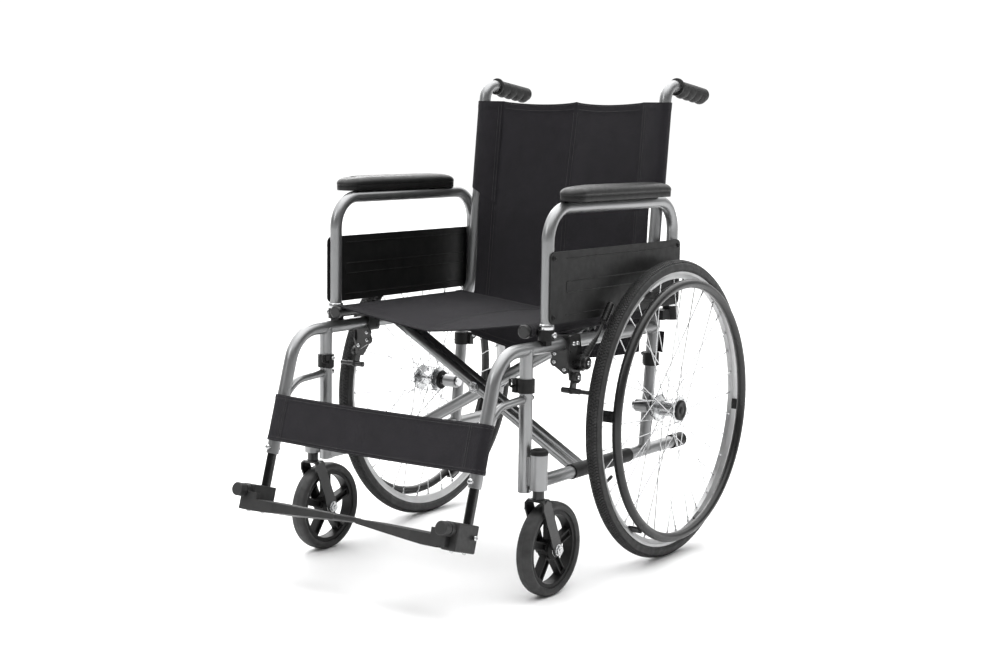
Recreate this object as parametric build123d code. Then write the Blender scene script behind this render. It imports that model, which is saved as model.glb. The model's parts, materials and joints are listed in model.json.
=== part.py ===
from build123d import *
import os
from math import atan2, cos, degrees, hypot, radians, sin, tan

# Folding manual wheelchair with 24 inch rear wheels, open and ready to use.
# Millimetres. +X is the user's left, the chair faces -Y, +Z is up, and the floor is Z = 0.
# All shapes are drawn with Y measured from the rear axle; save() then moves them by AXLE_Y,
# so that the origin lies on the floor below the middle of the chair.

# ---- driving dimensions -------------------------------------------------------------
AXLE_Y = 191.0          # rear axle behind the origin
AXLE_Z = 305.0          # rear axle height, the radius of a 24 inch wheel
FRAME_X = 244.0         # plane of each side frame
CANE_X = 229.0          # plane of each back cane above the seat
ARM_X = 257.0           # plane of each armrest hoop
TOP_Z = 466.0           # top tube
BOTTOM_Z = 210.0        # bottom rail
TUBE_R = 12.5           # frame tubes, 25 mm
TUBE_WALL = 1.6
POST_Y = -427.0         # front post
RAIL_END_Y = 165.0      # rear end of the bottom rail
HANGER_END = (-585.0, 233.0)     # y, z of the hanger's lower end
HANGER_LEAN = 16.5      # degrees from upright
BEND_R = 75.0
CANE_Y = 22.0           # rear post at the height of the axle
CANE_LEAN = 0.1065      # y gained per mm of height
HANDLE_Z = 962.9        # where the cane's line meets the handle's
GRIP_START = (131.0, 957.9)      # y, z along the push handle
GRIP_END = (252.0, 942.3)
CANE_BENDS = [60.0, 60.0, 32.0]
BRACE_Z = 375.0         # curved brace at the front post
CLAMP_Z = 399.0         # black band clamps on the posts

WHEEL_X = 308.0         # middle plane of the rear wheels
TYRE_R = 17.0
RIM_R = 283.0           # rim edge, under the tyre
HANDRIM_X = 340.0
HANDRIM_R = 258.6
HANDRIM_TUBE_R = 9.3
SPOKES = 36
# rim section, from (x offset, radius) points
RIM_OUTLINE = [(-10.8, 282), (10.8, 282), (10.8, 276), (5, 267), (-5, 267), (-10.8, 276)]
RIM_HOLLOW = [(-9.2, 280.4), (9.2, 280.4), (9.2, 276.5), (4, 268.6), (-4, 268.6), (-9.2, 276.5)]

CASTER_X = 277.0        # steering axis
CASTER_Y = -429.0
CASTER_TRAIL = 38.0
CASTER_R = 89.5
HOUSING_Z = (208.0, 274.0)

SEAT_X = 229.0          # seat rails
SEAT_Z = 497.0
SEAT_RAIL_R = 10.5
SEAT_FRONT_Y = -416.0
SEAT_REAR_Y = 18.0
CROSS_Y = -207.0        # middle of the cross brace
CROSS_PITCH = 26.0      # spacing of its four tubes
CROSS_R = 10.0
PIVOT_Z = 349.0         # cross bolt
BOLT_R = 5.0
SLEEVE_Y = (-268.0, -55.0)       # pivot sleeve on the bottom rail
SLEEVE_R = 14.8
NOTCH_R = 23.0          # notch at an arm's upper end, clear of the armrest when the chair is folded

ARM_TOP_Z = 724.6
ARM_FRONT_Y = -382.0
ARM_REAR_Y = 82.5
ARM_R = 12.0
PAD_Y = (-345.0, 14.0)
PAD_WIDTH = 56.0
PANEL_Y = (-393.0, 92.0)         # side panel
PANEL_Z = (511.0, 645.0)

PIN_DROP = 78.0         # footplate pin below the hanger's end, along the tube
FOOT_R = 9.3            # footrest inner tube
FOOT_GAP = 25.0         # footplate's inner end from the middle plane
PLATE_TOP = 13.2        # footplate surface below its pin
PLATE_BACK = -40.0      # footplate edges, forward of the hanger's line
PLATE_FRONT = 60.0
PIN_R = 5.0
PLATE_START = 20.0      # footplate's outer edge inward of the pin
PLATE_THIN = 9.0        # thickness at the inner end
PLATE_DEEP = 22.0       # thickness beside the block

BRAKE_Y = -294.0        # brake clamp on the top tube
LEVER_PIVOT = (-278.0, 428.0)
SHOE_PIVOT = (-299.0, 402.0)
SHOE_ROD = (-308.0, 377.0)
LEVER_TIP = (-194.0, 536.0)

FABRIC = 3.0
SAG = 32.0              # seat sling below its rails, at the middle
BACK_TOP = 926.0        # back upholstery
BACK_HEM = (410.0, 380.0)        # its lower hem beside the posts and at the middle
BACK_EDGE_X = 216.0     # edge of the back panel beside the bare part of the cane
BACK_SLEEVE_Z = 700.0   # lower end of the sleeves round the canes
STRAP = (98.0, 189.0)   # calf strap: heights on the hanger above the footplate pin

RUN = 0.05              # radial clearance of a running fit
GAP = 0.3               # clearance between bodies that only pass each other

# ---- derived places and directions ------------------------------------------------------
LEAN = radians(HANGER_LEAN)
HANGER_UP = Vector(0, sin(LEAN), cos(LEAN))
PIN_FORWARD = Vector(0, -cos(LEAN), sin(LEAN))
PIN_POINT = Vector(FRAME_X, *HANGER_END) - HANGER_UP * PIN_DROP
CORNER_Y = HANGER_END[0] + (TOP_Z - HANGER_END[1]) * tan(LEAN)   # top tube meets the hanger's line
WHEEL_CENTRE = (CASTER_Y + CASTER_TRAIL, CASTER_R)               # y, z of the caster's axle
ARM_A_Y = CROSS_Y - 1.5 * CROSS_PITCH                            # first tube of each cross arm
ARM_B_Y = CROSS_Y + 0.5 * CROSS_PITCH


def cane_y(z):
    return CANE_Y + CANE_LEAN * (z - AXLE_Z)


def on_hanger(height):
    """A point on the hanger's line, by its height above the footplate pin."""
    return PIN_POINT + HANGER_UP * height


# ---- small builders -------------------------------------------------------------------
def tube(points, outer_r, wall=TUBE_WALL, bend=None):
    """A round tube along straight runs joined by bends; wall None makes a solid rod."""
    path = FilletPolyline(*points, radius=bend) if bend else Line(*points)
    section = Circle(outer_r) - Circle(outer_r - wall) if wall else Circle(outer_r)
    return sweep(Plane(origin=path @ 0, z_dir=path % 0) * section, path=path)


def rod(start, end, r):
    start, end = Vector(*start), Vector(*end)
    span = end - start
    plane = Plane(origin=start, z_dir=span)
    return extrude(plane * Circle(r), amount=span.length)


def ring(start, end, outer_r, inner_r):
    start, end = Vector(*start), Vector(*end)
    span = end - start
    plane = Plane(origin=start, z_dir=span)
    return extrude(plane * (Circle(outer_r) - Circle(inner_r)), amount=span.length)


def block(x, y, z):
    """A box from its limits along each axis."""
    size = [high - low for low, high in (x, y, z)]
    middle = [(low + high) / 2 for low, high in (x, y, z)]
    return Pos(*middle) * Box(*size)


def turned(points, x):
    """A body of revolution about the rear or caster axle line, from (x offset, radius) points."""
    face = make_face(Polyline(*[(r, dx) for dx, r in points], close=True))
    # the sketch's first axis is the radius and its second the axle
    return Pos(x, 0, 0) * Rot(0, 90, 0) * revolve(Plane.XZ * face, axis=Axis.Z)


def plate_yz(points, x_low, x_high, corner=0.0):
    """A flat plate in a plane of constant X, from (y, z) outline points."""
    face = make_face(Polyline(*points, close=True))
    if corner:
        face = fillet(face.vertices(), corner)
    plane = Plane(origin=(x_low, 0, 0), x_dir=(0, 1, 0), z_dir=(1, 0, 0))
    return extrude(plane * face, amount=x_high - x_low)


def group(*solids):
    """Several separate solids kept in one node."""
    flat = []
    for item in solids:
        flat.extend(item.solids())
    return Compound(children=flat) if len(flat) > 1 else flat[0]


def save(name, shape):
    moved = shape.moved(Location((0, AXLE_Y, 0)))
    export_step(moved, f"parts/{name}.step")


# ---- side frame -----------------------------------------------------------------------
def cane_path():
    return [
        (FRAME_X, cane_y(BOTTOM_Z), BOTTOM_Z),
        (FRAME_X, cane_y(TOP_Z + 16), TOP_Z + 16),
        (CANE_X, cane_y(TOP_Z + 60), TOP_Z + 60),
        (CANE_X, cane_y(HANDLE_Z), HANDLE_Z),
        (CANE_X, *GRIP_END),
    ]


def solid_rail():
    return rod((FRAME_X, POST_Y, BOTTOM_Z), (FRAME_X, RAIL_END_Y, BOTTOM_Z), TUBE_R)


def back_cane():
    """Rear post, back cane and push handle in one tube, with the axle boss welded on."""
    cane = tube(cane_path(), TUBE_R, TUBE_WALL, CANE_BENDS) - solid_rail()
    boss = rod((FRAME_X - 12, 0, AXLE_Z), (FRAME_X + 18, 0, AXLE_Z), 14)
    bore = rod((FRAME_X - 13, 0, AXLE_Z), (FRAME_X + 19, 0, AXLE_Z), 6)
    inside = rod(cane_path()[0], cane_path()[1], TUBE_R - TUBE_WALL)
    return cane + (boss - inside) - bore


def top_tube():
    """Seat-height tube that turns down into the fixed front hanger."""
    rear = cane_y(TOP_Z)
    path = [(FRAME_X, rear, TOP_Z), (FRAME_X, CORNER_Y, TOP_Z), (FRAME_X, *HANGER_END)]
    return tube(path, TUBE_R, TUBE_WALL, [BEND_R]) - rod(cane_path()[0], cane_path()[1], TUBE_R)


def brace_path():
    return [tuple(on_hanger(187)), (FRAME_X, -512, 370), (FRAME_X, POST_Y, BRACE_Z)]


def lower_frame():
    """Front post, bottom rail, caster housing and the curved brace, welded together."""
    post = tube([(FRAME_X, POST_Y, 199), (FRAME_X, POST_Y, TOP_Z)], TUBE_R)
    rail = tube([(FRAME_X, POST_Y, BOTTOM_Z), (FRAME_X, RAIL_END_Y, BOTTOM_Z)], TUBE_R)
    rail -= rod((FRAME_X, POST_Y, 190), (FRAME_X, POST_Y, 240), TUBE_R)
    housing = rod((CASTER_X, CASTER_Y, HOUSING_Z[0]), (CASTER_X, CASTER_Y, HOUSING_Z[1]), 16.5)
    web = block((FRAME_X + 11, CASTER_X - 15), (CASTER_Y - 6, CASTER_Y + 6), (214, 268))
    brace = tube(brace_path(), 7.5, 1.6, [55])
    brace -= rod((FRAME_X, POST_Y, 300), (FRAME_X, POST_Y, TOP_Z), TUBE_R)
    body = post + rail + housing + web + brace
    body -= rod((CASTER_X, CASTER_Y, 200), (CASTER_X, CASTER_Y, 280), 14)
    body -= rod((FRAME_X, CORNER_Y + 60, TOP_Z), (FRAME_X, -300, TOP_Z), TUBE_R)
    return body - rod(tuple(on_hanger(60)), tuple(on_hanger(240)), TUBE_R)


def push_grip():
    """Ribbed handle sleeve with finger scallops below."""
    start, end = Vector(CANE_X, *GRIP_START), Vector(CANE_X, *GRIP_END)
    along = (end - start).normalized()
    down = Vector(0, along.Z, -along.Y)
    grip = rod(tuple(start), tuple(end + along * 4), 15.5)
    grip = fillet(grip.edges().sort_by(Axis.Y)[-1], 4)
    grip -= rod(tuple(start - along), tuple(end + along * RUN), TUBE_R)
    flange = ring(tuple(start), tuple(start + along * 5), 19, TUBE_R)
    grip += flange
    for count in range(4):
        centre = start + along * (24 + 25 * count) + down * 29
        cutter = rod(tuple(centre - Vector(30, 0, 0)), tuple(centre + Vector(30, 0, 0)), 15.5)
        grip -= cutter
    return grip


def half_clamp(ear_y):
    """A black band clamp round an upright tube, with an ear for its bolt."""
    z = (CLAMP_Z - 13, CLAMP_Z + 13)
    band = ring((FRAME_X, 0, z[0]), (FRAME_X, 0, z[1]), TUBE_R + 4, TUBE_R)
    ear = block((FRAME_X - 22, FRAME_X - 12), (ear_y - 6, ear_y + 6), z)
    return band + (ear - rod((FRAME_X, 0, z[0] - 1), (FRAME_X, 0, z[1] + 1), TUBE_R))


def hook(post_y, way):
    """A small hook on the clamp's ear, pointing away from the post."""
    x = FRAME_X - 17
    return tube([(x, post_y + way * 8, CLAMP_Z), (x, post_y + way * 28, CLAMP_Z),
                 (x, post_y + way * 28, CLAMP_Z + 15)], 2.5, None, [6])


def frame_fittings():
    """Black mouldings and clamps on one side frame."""
    tip = rod((FRAME_X, RAIL_END_Y - 42, BOTTOM_Z), (FRAME_X, RAIL_END_Y + 6, BOTTOM_Z), TUBE_R + 2.5)
    tip = fillet(tip.edges().sort_by(Axis.Y)[-1], 4)
    tip -= rod((FRAME_X, RAIL_END_Y - 43, BOTTOM_Z), (FRAME_X, RAIL_END_Y, BOTTOM_Z), TUBE_R)
    cap_base = HOUSING_Z[1]
    cap = rod((CASTER_X, CASTER_Y, cap_base), (CASTER_X, CASTER_Y, cap_base + 11), 17.5)
    cap = fillet(cap.edges().sort_by(Axis.Z)[-1], 8)
    front_clamp = Pos(0, POST_Y, 0) * half_clamp(-8) + hook(POST_Y, -1)
    rear_y = cane_y(CLAMP_Z)
    rear_clamp = Pos(0, rear_y, 0) * half_clamp(8) + hook(rear_y, 1)
    rear_clamp -= rod(cane_path()[0], cane_path()[1], TUBE_R)
    rear_clamp = rear_clamp.solids().sort_by(SortBy.VOLUME)[-1]
    socket_top = 506
    front_socket = rod((ARM_X, ARM_FRONT_Y, 480), (ARM_X, ARM_FRONT_Y, socket_top - 6), 15.5)
    front_socket += block((FRAME_X, ARM_X + 6), (ARM_FRONT_Y - 9, ARM_FRONT_Y + 9), (TOP_Z + 4, 490))
    front_socket -= rod((FRAME_X, -460, TOP_Z), (FRAME_X, -300, TOP_Z), TUBE_R)
    front_socket -= rod((ARM_X, ARM_FRONT_Y, 483), (ARM_X, ARM_FRONT_Y, 520), ARM_R + RUN)
    rear_socket = rod((ARM_X, ARM_REAR_Y, 478), (ARM_X, ARM_REAR_Y, socket_top), 16)
    rear_socket += block((FRAME_X - 6, ARM_X + 8), (cane_y(TOP_Z), ARM_REAR_Y - 4), (480, 500))
    rear_socket -= tube(cane_path(), TUBE_R, None, CANE_BENDS)
    rear_socket -= rod((ARM_X, ARM_REAR_Y, 483), (ARM_X, ARM_REAR_Y, 520), ARM_R + RUN)
    bush_low, bush_high = on_hanger(PIN_DROP), on_hanger(PIN_DROP + 40)
    bush = ring(tuple(bush_low), tuple(bush_high), TUBE_R - TUBE_WALL - 0.01, FOOT_R + RUN)
    rear_socket = rear_socket.solids().sort_by(SortBy.VOLUME)[-1]
    return group(tip, cap, front_clamp, rear_clamp, front_socket, rear_socket, bush)


def frame_bolts():
    """Rear axle bolt with its nuts and spacer, steering bearings and the small bolts."""
    inner = FRAME_X - 12
    axle = rod((inner - 7, 0, AXLE_Z), (WHEEL_X + 21, 0, AXLE_Z), 6)
    head = rod((inner - 7, 0, AXLE_Z), (inner, 0, AXLE_Z), 10)
    spacer = rod((FRAME_X + 18, 0, AXLE_Z), (WHEEL_X - 37.2, 0, AXLE_Z), 8.5)
    end_nut = rod((WHEEL_X + 18, 0, AXLE_Z), (WHEEL_X + 21, 0, AXLE_Z), 9)
    bearings = [
        ring((CASTER_X, CASTER_Y, low), (CASTER_X, CASTER_Y, low + 9), 14, 8 + RUN)
        for low in (HOUSING_Z[0] + 1, HOUSING_Z[1] - 10)
    ]
    brace_bolt = rod((FRAME_X, POST_Y + 10, BRACE_Z), (FRAME_X, POST_Y + TUBE_R + 7, BRACE_Z), 4.5)
    brace_bolt -= rod((FRAME_X, POST_Y, 300), (FRAME_X, POST_Y, TOP_Z), TUBE_R)
    clamp_point = on_hanger(PIN_DROP + 11)
    front = clamp_point + PIN_FORWARD * TUBE_R
    back = clamp_point - PIN_FORWARD * TUBE_R
    hanger_head = rod(tuple(front - PIN_FORWARD * 1.5), tuple(front + PIN_FORWARD * 5), 5)
    hanger_tip = rod(tuple(back + PIN_FORWARD * 1.5), tuple(back - PIN_FORWARD * 7), 2.5)
    hanger = rod(tuple(on_hanger(60)), tuple(on_hanger(240)), TUBE_R)
    clamp_bolts = [
        rod((FRAME_X - 22 - 4, y, CLAMP_Z + 8), (FRAME_X - 22, y, CLAMP_Z + 8), 3)
        for y in (POST_Y - 8, cane_y(CLAMP_Z) + 8)
    ]
    socket_bolt = rod((ARM_X + 14, ARM_FRONT_Y, 491), (ARM_X + 19, ARM_FRONT_Y, 491), 5)
    socket_bolt -= rod((ARM_X, ARM_FRONT_Y, 480), (ARM_X, ARM_FRONT_Y, 500), 15.5)
    return group(axle + head + spacer + end_nut, *bearings, brace_bolt, hanger_head - hanger,
                 hanger_tip - hanger, *clamp_bolts, socket_bolt)


# ---- rear wheel -----------------------------------------------------------------------
def at_axle(shape):
    return Pos(0, 0, AXLE_Z) * shape


def rear_tyre():
    path_r = AXLE_Z - TYRE_R
    section = Pos(path_r, 0) * (Circle(TYRE_R) - Circle(TYRE_R - 3))
    section -= Pos(RIM_R - 20, 0) * Rectangle(36, 60)
    section += Pos(RIM_R, 0) * (Rectangle(4, 29) - Rectangle(4.2, 22))
    tyre = revolve(Plane.XZ * section, axis=Axis.Z)
    return at_axle(Pos(WHEEL_X, 0, 0) * Rot(0, 90, 0) * tyre)


def rear_rim():
    return at_axle(turned(RIM_OUTLINE, WHEEL_X) - turned(RIM_HOLLOW, WHEEL_X))


def rear_spokes():
    """Tangential spokes, half to each hub flange and crossing one another."""
    spokes = []
    for count in range(SPOKES):
        side = 1 if count % 2 else -1
        lead = 1 if (count // 2) % 2 else -1
        rim_angle = radians(360 / SPOKES * count)
        hub_angle = rim_angle + lead * radians(72)
        flange_x = side * (23.5 + 2.1 * lead)
        hub_end = (WHEEL_X + flange_x, 23.5 * cos(hub_angle), AXLE_Z + 23.5 * sin(hub_angle))
        rim_end = (WHEEL_X + side * 2, 267.5 * cos(rim_angle), AXLE_Z + 267.5 * sin(rim_angle))
        spokes.append(rod(hub_end, rim_end, 1.0))
    return group(*spokes)


def rear_hub():
    """High-flange hub shell; its end caps are separate discs."""
    bore = 6 + RUN
    hub = turned([(-33, bore), (-33, 14), (-26, 14), (-25, 28), (-22, 28), (-20, 15), (20, 15), (22, 28),
                  (25, 28), (26, 15), (26, 12), (22.6, 12), (22.6, 10.5), (17, 10.5), (17, bore)], WHEEL_X)
    outer_cap = turned([(22.7, 0), (22.7, 12), (26.1, 12), (26.1, 20), (27.5, 20), (29, 16), (29, 0)], WHEEL_X)
    inner_cap = turned([(-36.3, bore), (-36.3, 18), (-34.5, 20), (-33, 20), (-33, bore)], WHEEL_X)
    return group(at_axle(hub), at_axle(outer_cap), at_axle(inner_cap))


def handrim():
    """Push rim on six flat stand-off tabs."""
    hoop = revolve(Plane.XZ * (Pos(HANDRIM_R, 0) * (Circle(HANDRIM_TUBE_R) - Circle(HANDRIM_TUBE_R - 1.6))),
                   axis=Axis.Z)
    hoop = Pos(HANDRIM_X, 0, 0) * Rot(0, 90, 0) * hoop
    tab = block((WHEEL_X + 6, HANDRIM_X - 5), (-11, 11), (265, 270))
    tab -= turned(RIM_OUTLINE, WHEEL_X)
    tab -= Pos(HANDRIM_X, 0, 0) * Rot(0, 90, 0) * Torus(HANDRIM_R, HANDRIM_TUBE_R)
    tab = tab.solids().sort_by(SortBy.VOLUME)[-1]
    result = hoop
    for count in range(6):
        result += Rot(25 + 60 * count, 0, 0) * tab
    return at_axle(result)


# ---- front caster ---------------------------------------------------------------------
def at_caster(shape):
    return Pos(0, *WHEEL_CENTRE) * shape


def caster_tyre():
    half = 17.0
    section = make_face(Polyline((74, -11), (84, -half + 0.5), (CASTER_R, -8), (CASTER_R, 8),
                                 (84, half - 0.5), (74, 11), close=True))
    section = fillet(section.vertices().sort_by(Axis.X)[2:], 3.5)
    return at_caster(Pos(CASTER_X, 0, 0) * Rot(0, 90, 0) * revolve(Plane.XZ * section, axis=Axis.Z))


def caster_wheel():
    """Moulded wheel with five spokes."""
    rim = turned([(-11, 66), (11, 66), (11, 74), (-11, 74)], CASTER_X)
    hub = turned([(-17, 5 + RUN), (-17, 14), (-12, 20), (12, 20), (17, 14), (17, 5 + RUN)], CASTER_X)
    wheel = rim + hub
    for count in range(5):
        spoke = block((CASTER_X - 8, CASTER_X + 8), (-8, 8), (18, 68))
        spoke -= block((CASTER_X - 9, CASTER_X - 3), (-5, 5), (24, 62))
        spoke -= block((CASTER_X + 3, CASTER_X + 9), (-5, 5), (24, 62))
        wheel += Rot(72 * count, 0, 0) * spoke
    bore = rod((CASTER_X - 20, 0, 0), (CASTER_X + 20, 0, 0), 5 + RUN)
    return at_caster(wheel - bore)


def caster_fork():
    """Bent flat-strip fork with its steering stem; the axle bolt is a separate solid."""
    half_in, half_out, crown_top = 18.5, 22.0, 190.0
    leg_top, leg_end = (CASTER_Y, 176.0), WHEEL_CENTRE
    span = hypot(leg_end[0] - leg_top[0], leg_end[1] - leg_top[1])
    tilt = degrees(atan2(leg_end[0] - leg_top[0], leg_top[1] - leg_end[1]))
    slot = SlotCenterToCenter(span, 26)
    middle = ((leg_top[0] + leg_end[0]) / 2, (leg_top[1] + leg_end[1]) / 2)
    fork = None
    for low, high in ((-half_out, -half_in), (half_in, half_out)):
        plane = Plane(origin=(CASTER_X + low, *middle), x_dir=(0, 1, 0), z_dir=(1, 0, 0))
        leg = extrude(plane * Rot(0, 0, 90 + tilt) * slot, amount=high - low)
        fork = leg if fork is None else fork + leg
    arch = make_face(Polyline((-half_out, 170), (-half_out, 184), (-half_out + 6, crown_top),
                              (half_out - 6, crown_top), (half_out, 184), (half_out, 170), (half_in, 170),
                              (half_in, 183), (half_in - 3.5, crown_top - 3.5),
                              (-half_in + 3.5, crown_top - 3.5), (-half_in, 183), (-half_in, 170), close=True))
    arch_plane = Plane(origin=(CASTER_X, CASTER_Y + 13, 0), x_dir=(1, 0, 0), z_dir=(0, -1, 0))
    fork += extrude(arch_plane * arch, amount=26)
    fork += rod((CASTER_X, CASTER_Y, crown_top - 2), (CASTER_X, CASTER_Y, HOUSING_Z[0] - GAP), 11)
    fork += rod((CASTER_X, CASTER_Y, crown_top), (CASTER_X, CASTER_Y, HOUSING_Z[1] - GAP), 8)
    fork -= rod((CASTER_X - 30, *WHEEL_CENTRE), (CASTER_X + 30, *WHEEL_CENTRE), 5)
    axle = rod((CASTER_X - half_out - 5, *WHEEL_CENTRE), (CASTER_X + half_out + 5, *WHEEL_CENTRE), 5)
    for low in (-half_out - 5, half_out):
        axle += rod((CASTER_X + low, *WHEEL_CENTRE), (CASTER_X + low + 5, *WHEEL_CENTRE), 8)
    return group(fork, axle)


# ---- brake ----------------------------------------------------------------------------
def brake_body():
    """Clamp on the top tube with the side plate that carries lever and shoe arm."""
    clamp = block((FRAME_X - 16, FRAME_X + 17), (BRAKE_Y - 17, BRAKE_Y + 17), (TOP_Z - 17, TOP_Z + 17))
    clamp = fillet(clamp.edges().filter_by(Axis.Y), 6)
    clamp -= rod((FRAME_X, BRAKE_Y - 20, TOP_Z), (FRAME_X, BRAKE_Y + 20, TOP_Z), TUBE_R)
    outline = [(-311, 483), (-277, 483), (-268, 440), (-262, 428), (-272, 412), (-290, 392),
               (-308, 396), (-313, 420), (-318, 432)]
    plate = plate_yz(outline, FRAME_X + 17, FRAME_X + 21, 4)
    lever_pin = rod((FRAME_X + 21, *LEVER_PIVOT), (FRAME_X + 34, *LEVER_PIVOT), 4)
    shoe_pin = rod((FRAME_X + 21, *SHOE_PIVOT), (FRAME_X + 30, *SHOE_PIVOT), 3.5)
    screws = None
    for y in (-300, -287):
        screw = rod((FRAME_X + 20, y, 466), (FRAME_X + 23.5, y, 466), 3)
        screws = screw if screws is None else screws + screw
    return clamp + plate + lever_pin + shoe_pin + screws


def brake_lever():
    """Round pivot plate, bent rod and moulded grip."""
    x = FRAME_X + 21 + GAP
    disc = rod((x, *LEVER_PIVOT), (x + 9, *LEVER_PIVOT), 16)
    disc -= rod((x - 1, *LEVER_PIVOT), (x + 12, *LEVER_PIVOT), 4 + RUN)
    span = Vector(LEVER_TIP[0] - LEVER_PIVOT[0], LEVER_TIP[1] - LEVER_PIVOT[1], 0)
    unit = span.normalized()
    start = (LEVER_PIVOT[0] + unit.X * 12, LEVER_PIVOT[1] + unit.Y * 12)
    middle = (LEVER_PIVOT[0] + unit.X * 60, LEVER_PIVOT[1] + unit.Y * 60)
    lever_x = (x + 4.5, 281.5)
    stem = tube([(lever_x[0], *start), (lever_x[1], *middle), (lever_x[1], *LEVER_TIP)], 3.2, None, [60])
    grip_start = (lever_x[1], LEVER_PIVOT[0] + unit.X * 95, LEVER_PIVOT[1] + unit.Y * 95)
    grip = rod(grip_start, (lever_x[1], *LEVER_TIP), 7.2)
    grip = fillet(grip.edges(), 2.5)
    return disc + stem + grip


def brake_shoe():
    """Short arm with the cross rod that presses on the tyre."""
    x = FRAME_X + 21 + GAP
    arm = rod((x, *SHOE_PIVOT), (x + 5, *SHOE_PIVOT), 9)
    arm += plate_yz([(-308, 402), (-291, 402), (-299, 371), (-315, 371)], x, x + 5, 3)
    arm -= rod((x - 1, *SHOE_PIVOT), (x + 6, *SHOE_PIVOT), 3.5 + RUN)
    return arm + rod((FRAME_X + 2, *SHOE_ROD), (305, *SHOE_ROD), 4.2)


# ---- seat rails and cross brace ---------------------------------------------------------
def seat_rail():
    rail = tube([(SEAT_X, SEAT_FRONT_Y + 6, SEAT_Z), (SEAT_X, SEAT_REAR_Y - 6, SEAT_Z)], SEAT_RAIL_R)
    front_cap = rod((SEAT_X, SEAT_FRONT_Y - 2, SEAT_Z), (SEAT_X, SEAT_FRONT_Y + 6, SEAT_Z), 13)
    rear_cap = rod((SEAT_X, SEAT_REAR_Y - 6, SEAT_Z), (SEAT_X, SEAT_REAR_Y, SEAT_Z), 11.5)
    front_cap = fillet(front_cap.edges().sort_by(Axis.Y)[0], 3)
    return group(rail, front_cap, rear_cap)


def cross_arm(first_y):
    """Two parallel tubes from the left pivot sleeve up to the right seat rail."""
    rise = (PIVOT_Z - BOTTOM_Z) / FRAME_X
    top = (-SEAT_X, PIVOT_Z + rise * SEAT_X)
    arm = []
    for y in (first_y, first_y + CROSS_PITCH):
        leg = tube([(FRAME_X, y, BOTTOM_Z), (top[0], y, top[1])], CROSS_R)
        leg -= rod((FRAME_X, y - 20, BOTTOM_Z), (FRAME_X, y + 20, BOTTOM_Z), SLEEVE_R)
        leg -= rod((-SEAT_X, y - 20, SEAT_Z), (-SEAT_X, y + 20, SEAT_Z), SEAT_RAIL_R)
        leg -= rod((-FRAME_X, y - 20, TOP_Z), (-FRAME_X, y + 20, TOP_Z), NOTCH_R)
        arm.append(leg.solids().sort_by(SortBy.VOLUME)[-1])
    return arm


def pivot_sleeve():
    """Sleeve that turns on the bottom rail and carries the lower end of a cross arm."""
    return ring((FRAME_X, SLEEVE_Y[0], BOTTOM_Z), (FRAME_X, SLEEVE_Y[1], BOTTOM_Z), SLEEVE_R, TUBE_R + RUN)


def bolt_hole(radius):
    return rod((0, CROSS_Y - 80, PIVOT_Z), (0, CROSS_Y + 80, PIVOT_Z), radius)


def cross_bolt():
    """Pivot bolt with its head, nut and a spacer between each pair of tubes."""
    half = 1.5 * CROSS_PITCH + CROSS_R
    bolt = rod((0, CROSS_Y - half, PIVOT_Z), (0, CROSS_Y + half + 1, PIVOT_Z), BOLT_R)
    bolt += rod((0, CROSS_Y - half - 6, PIVOT_Z), (0, CROSS_Y - half, PIVOT_Z), 8.5)
    bolt += rod((0, CROSS_Y + half + 1, PIVOT_Z), (0, CROSS_Y + half + 8, PIVOT_Z), 8.5)
    middle = ring((0, CROSS_Y - 2.6, PIVOT_Z), (0, CROSS_Y + 2.6, PIVOT_Z), 8, BOLT_R)
    return bolt + middle


# ---- armrest --------------------------------------------------------------------------
def armrest_frame():
    foot = 484.0
    hoop = tube([(ARM_X, ARM_FRONT_Y, foot), (ARM_X, ARM_FRONT_Y, ARM_TOP_Z),
                 (ARM_X, ARM_REAR_Y, ARM_TOP_Z), (ARM_X, ARM_REAR_Y, foot)], ARM_R, TUBE_WALL, [62, 62])
    return hoop


def armrest_pad():
    """Soft pad moulded on a stiff base plate; the base rests on the hoop's top bar."""
    low = ARM_TOP_Z + ARM_R
    inner = ARM_X - ARM_R
    pad = block((inner, inner + PAD_WIDTH), PAD_Y, (low, low + 30))
    pad = fillet(pad.edges().filter_by(Axis.Z), 22)
    return fillet(pad.faces().sort_by(Axis.Z)[-1].edges(), 9)


def side_panel():
    """Thin moulded skirt guard screwed to the outside of the hoop."""
    x = ARM_X + ARM_R
    outline = [(PANEL_Y[0], PANEL_Z[0]), (PANEL_Y[1], PANEL_Z[0]), (PANEL_Y[1], PANEL_Z[1]),
               (PANEL_Y[0], PANEL_Z[1])]
    panel = plate_yz(outline, x, x + 2.6, 12)
    screws = []
    for y in (ARM_FRONT_Y, ARM_REAR_Y):
        for z in (PANEL_Z[0] + 12, PANEL_Z[1] - 12):
            screws.append(rod((x + 2.6, y, z), (x + 4.4, y, z), 4))
    return group(panel, *screws)


# ---- footrest -------------------------------------------------------------------------
# The footrest's own directions: forward along the pin, inward to the middle of the chair, and up
# the hanger. They make a right-handed set on the left side.
FOOT_FRAME = Plane(origin=tuple(PIN_POINT), x_dir=tuple(PIN_FORWARD), z_dir=tuple(HANGER_UP))
INWARD = -1 if FOOT_FRAME.y_dir.X > 0 else 1


def footrest_tube():
    low, high = on_hanger(-30), on_hanger(172)
    return tube([tuple(low), tuple(high)], FOOT_R)


def foot_block(forward, inward, height):
    """A box from its limits along the footrest's own directions."""
    size = [high - low for low, high in (forward, inward, height)]
    middle = [(low + high) / 2 for low, high in (forward, inward, height)]
    return FOOT_FRAME * (Pos(middle[0], INWARD * middle[1], middle[2]) * Box(*size))


def on_pin(forward):
    return tuple(PIN_POINT + PIN_FORWARD * forward)


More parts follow.
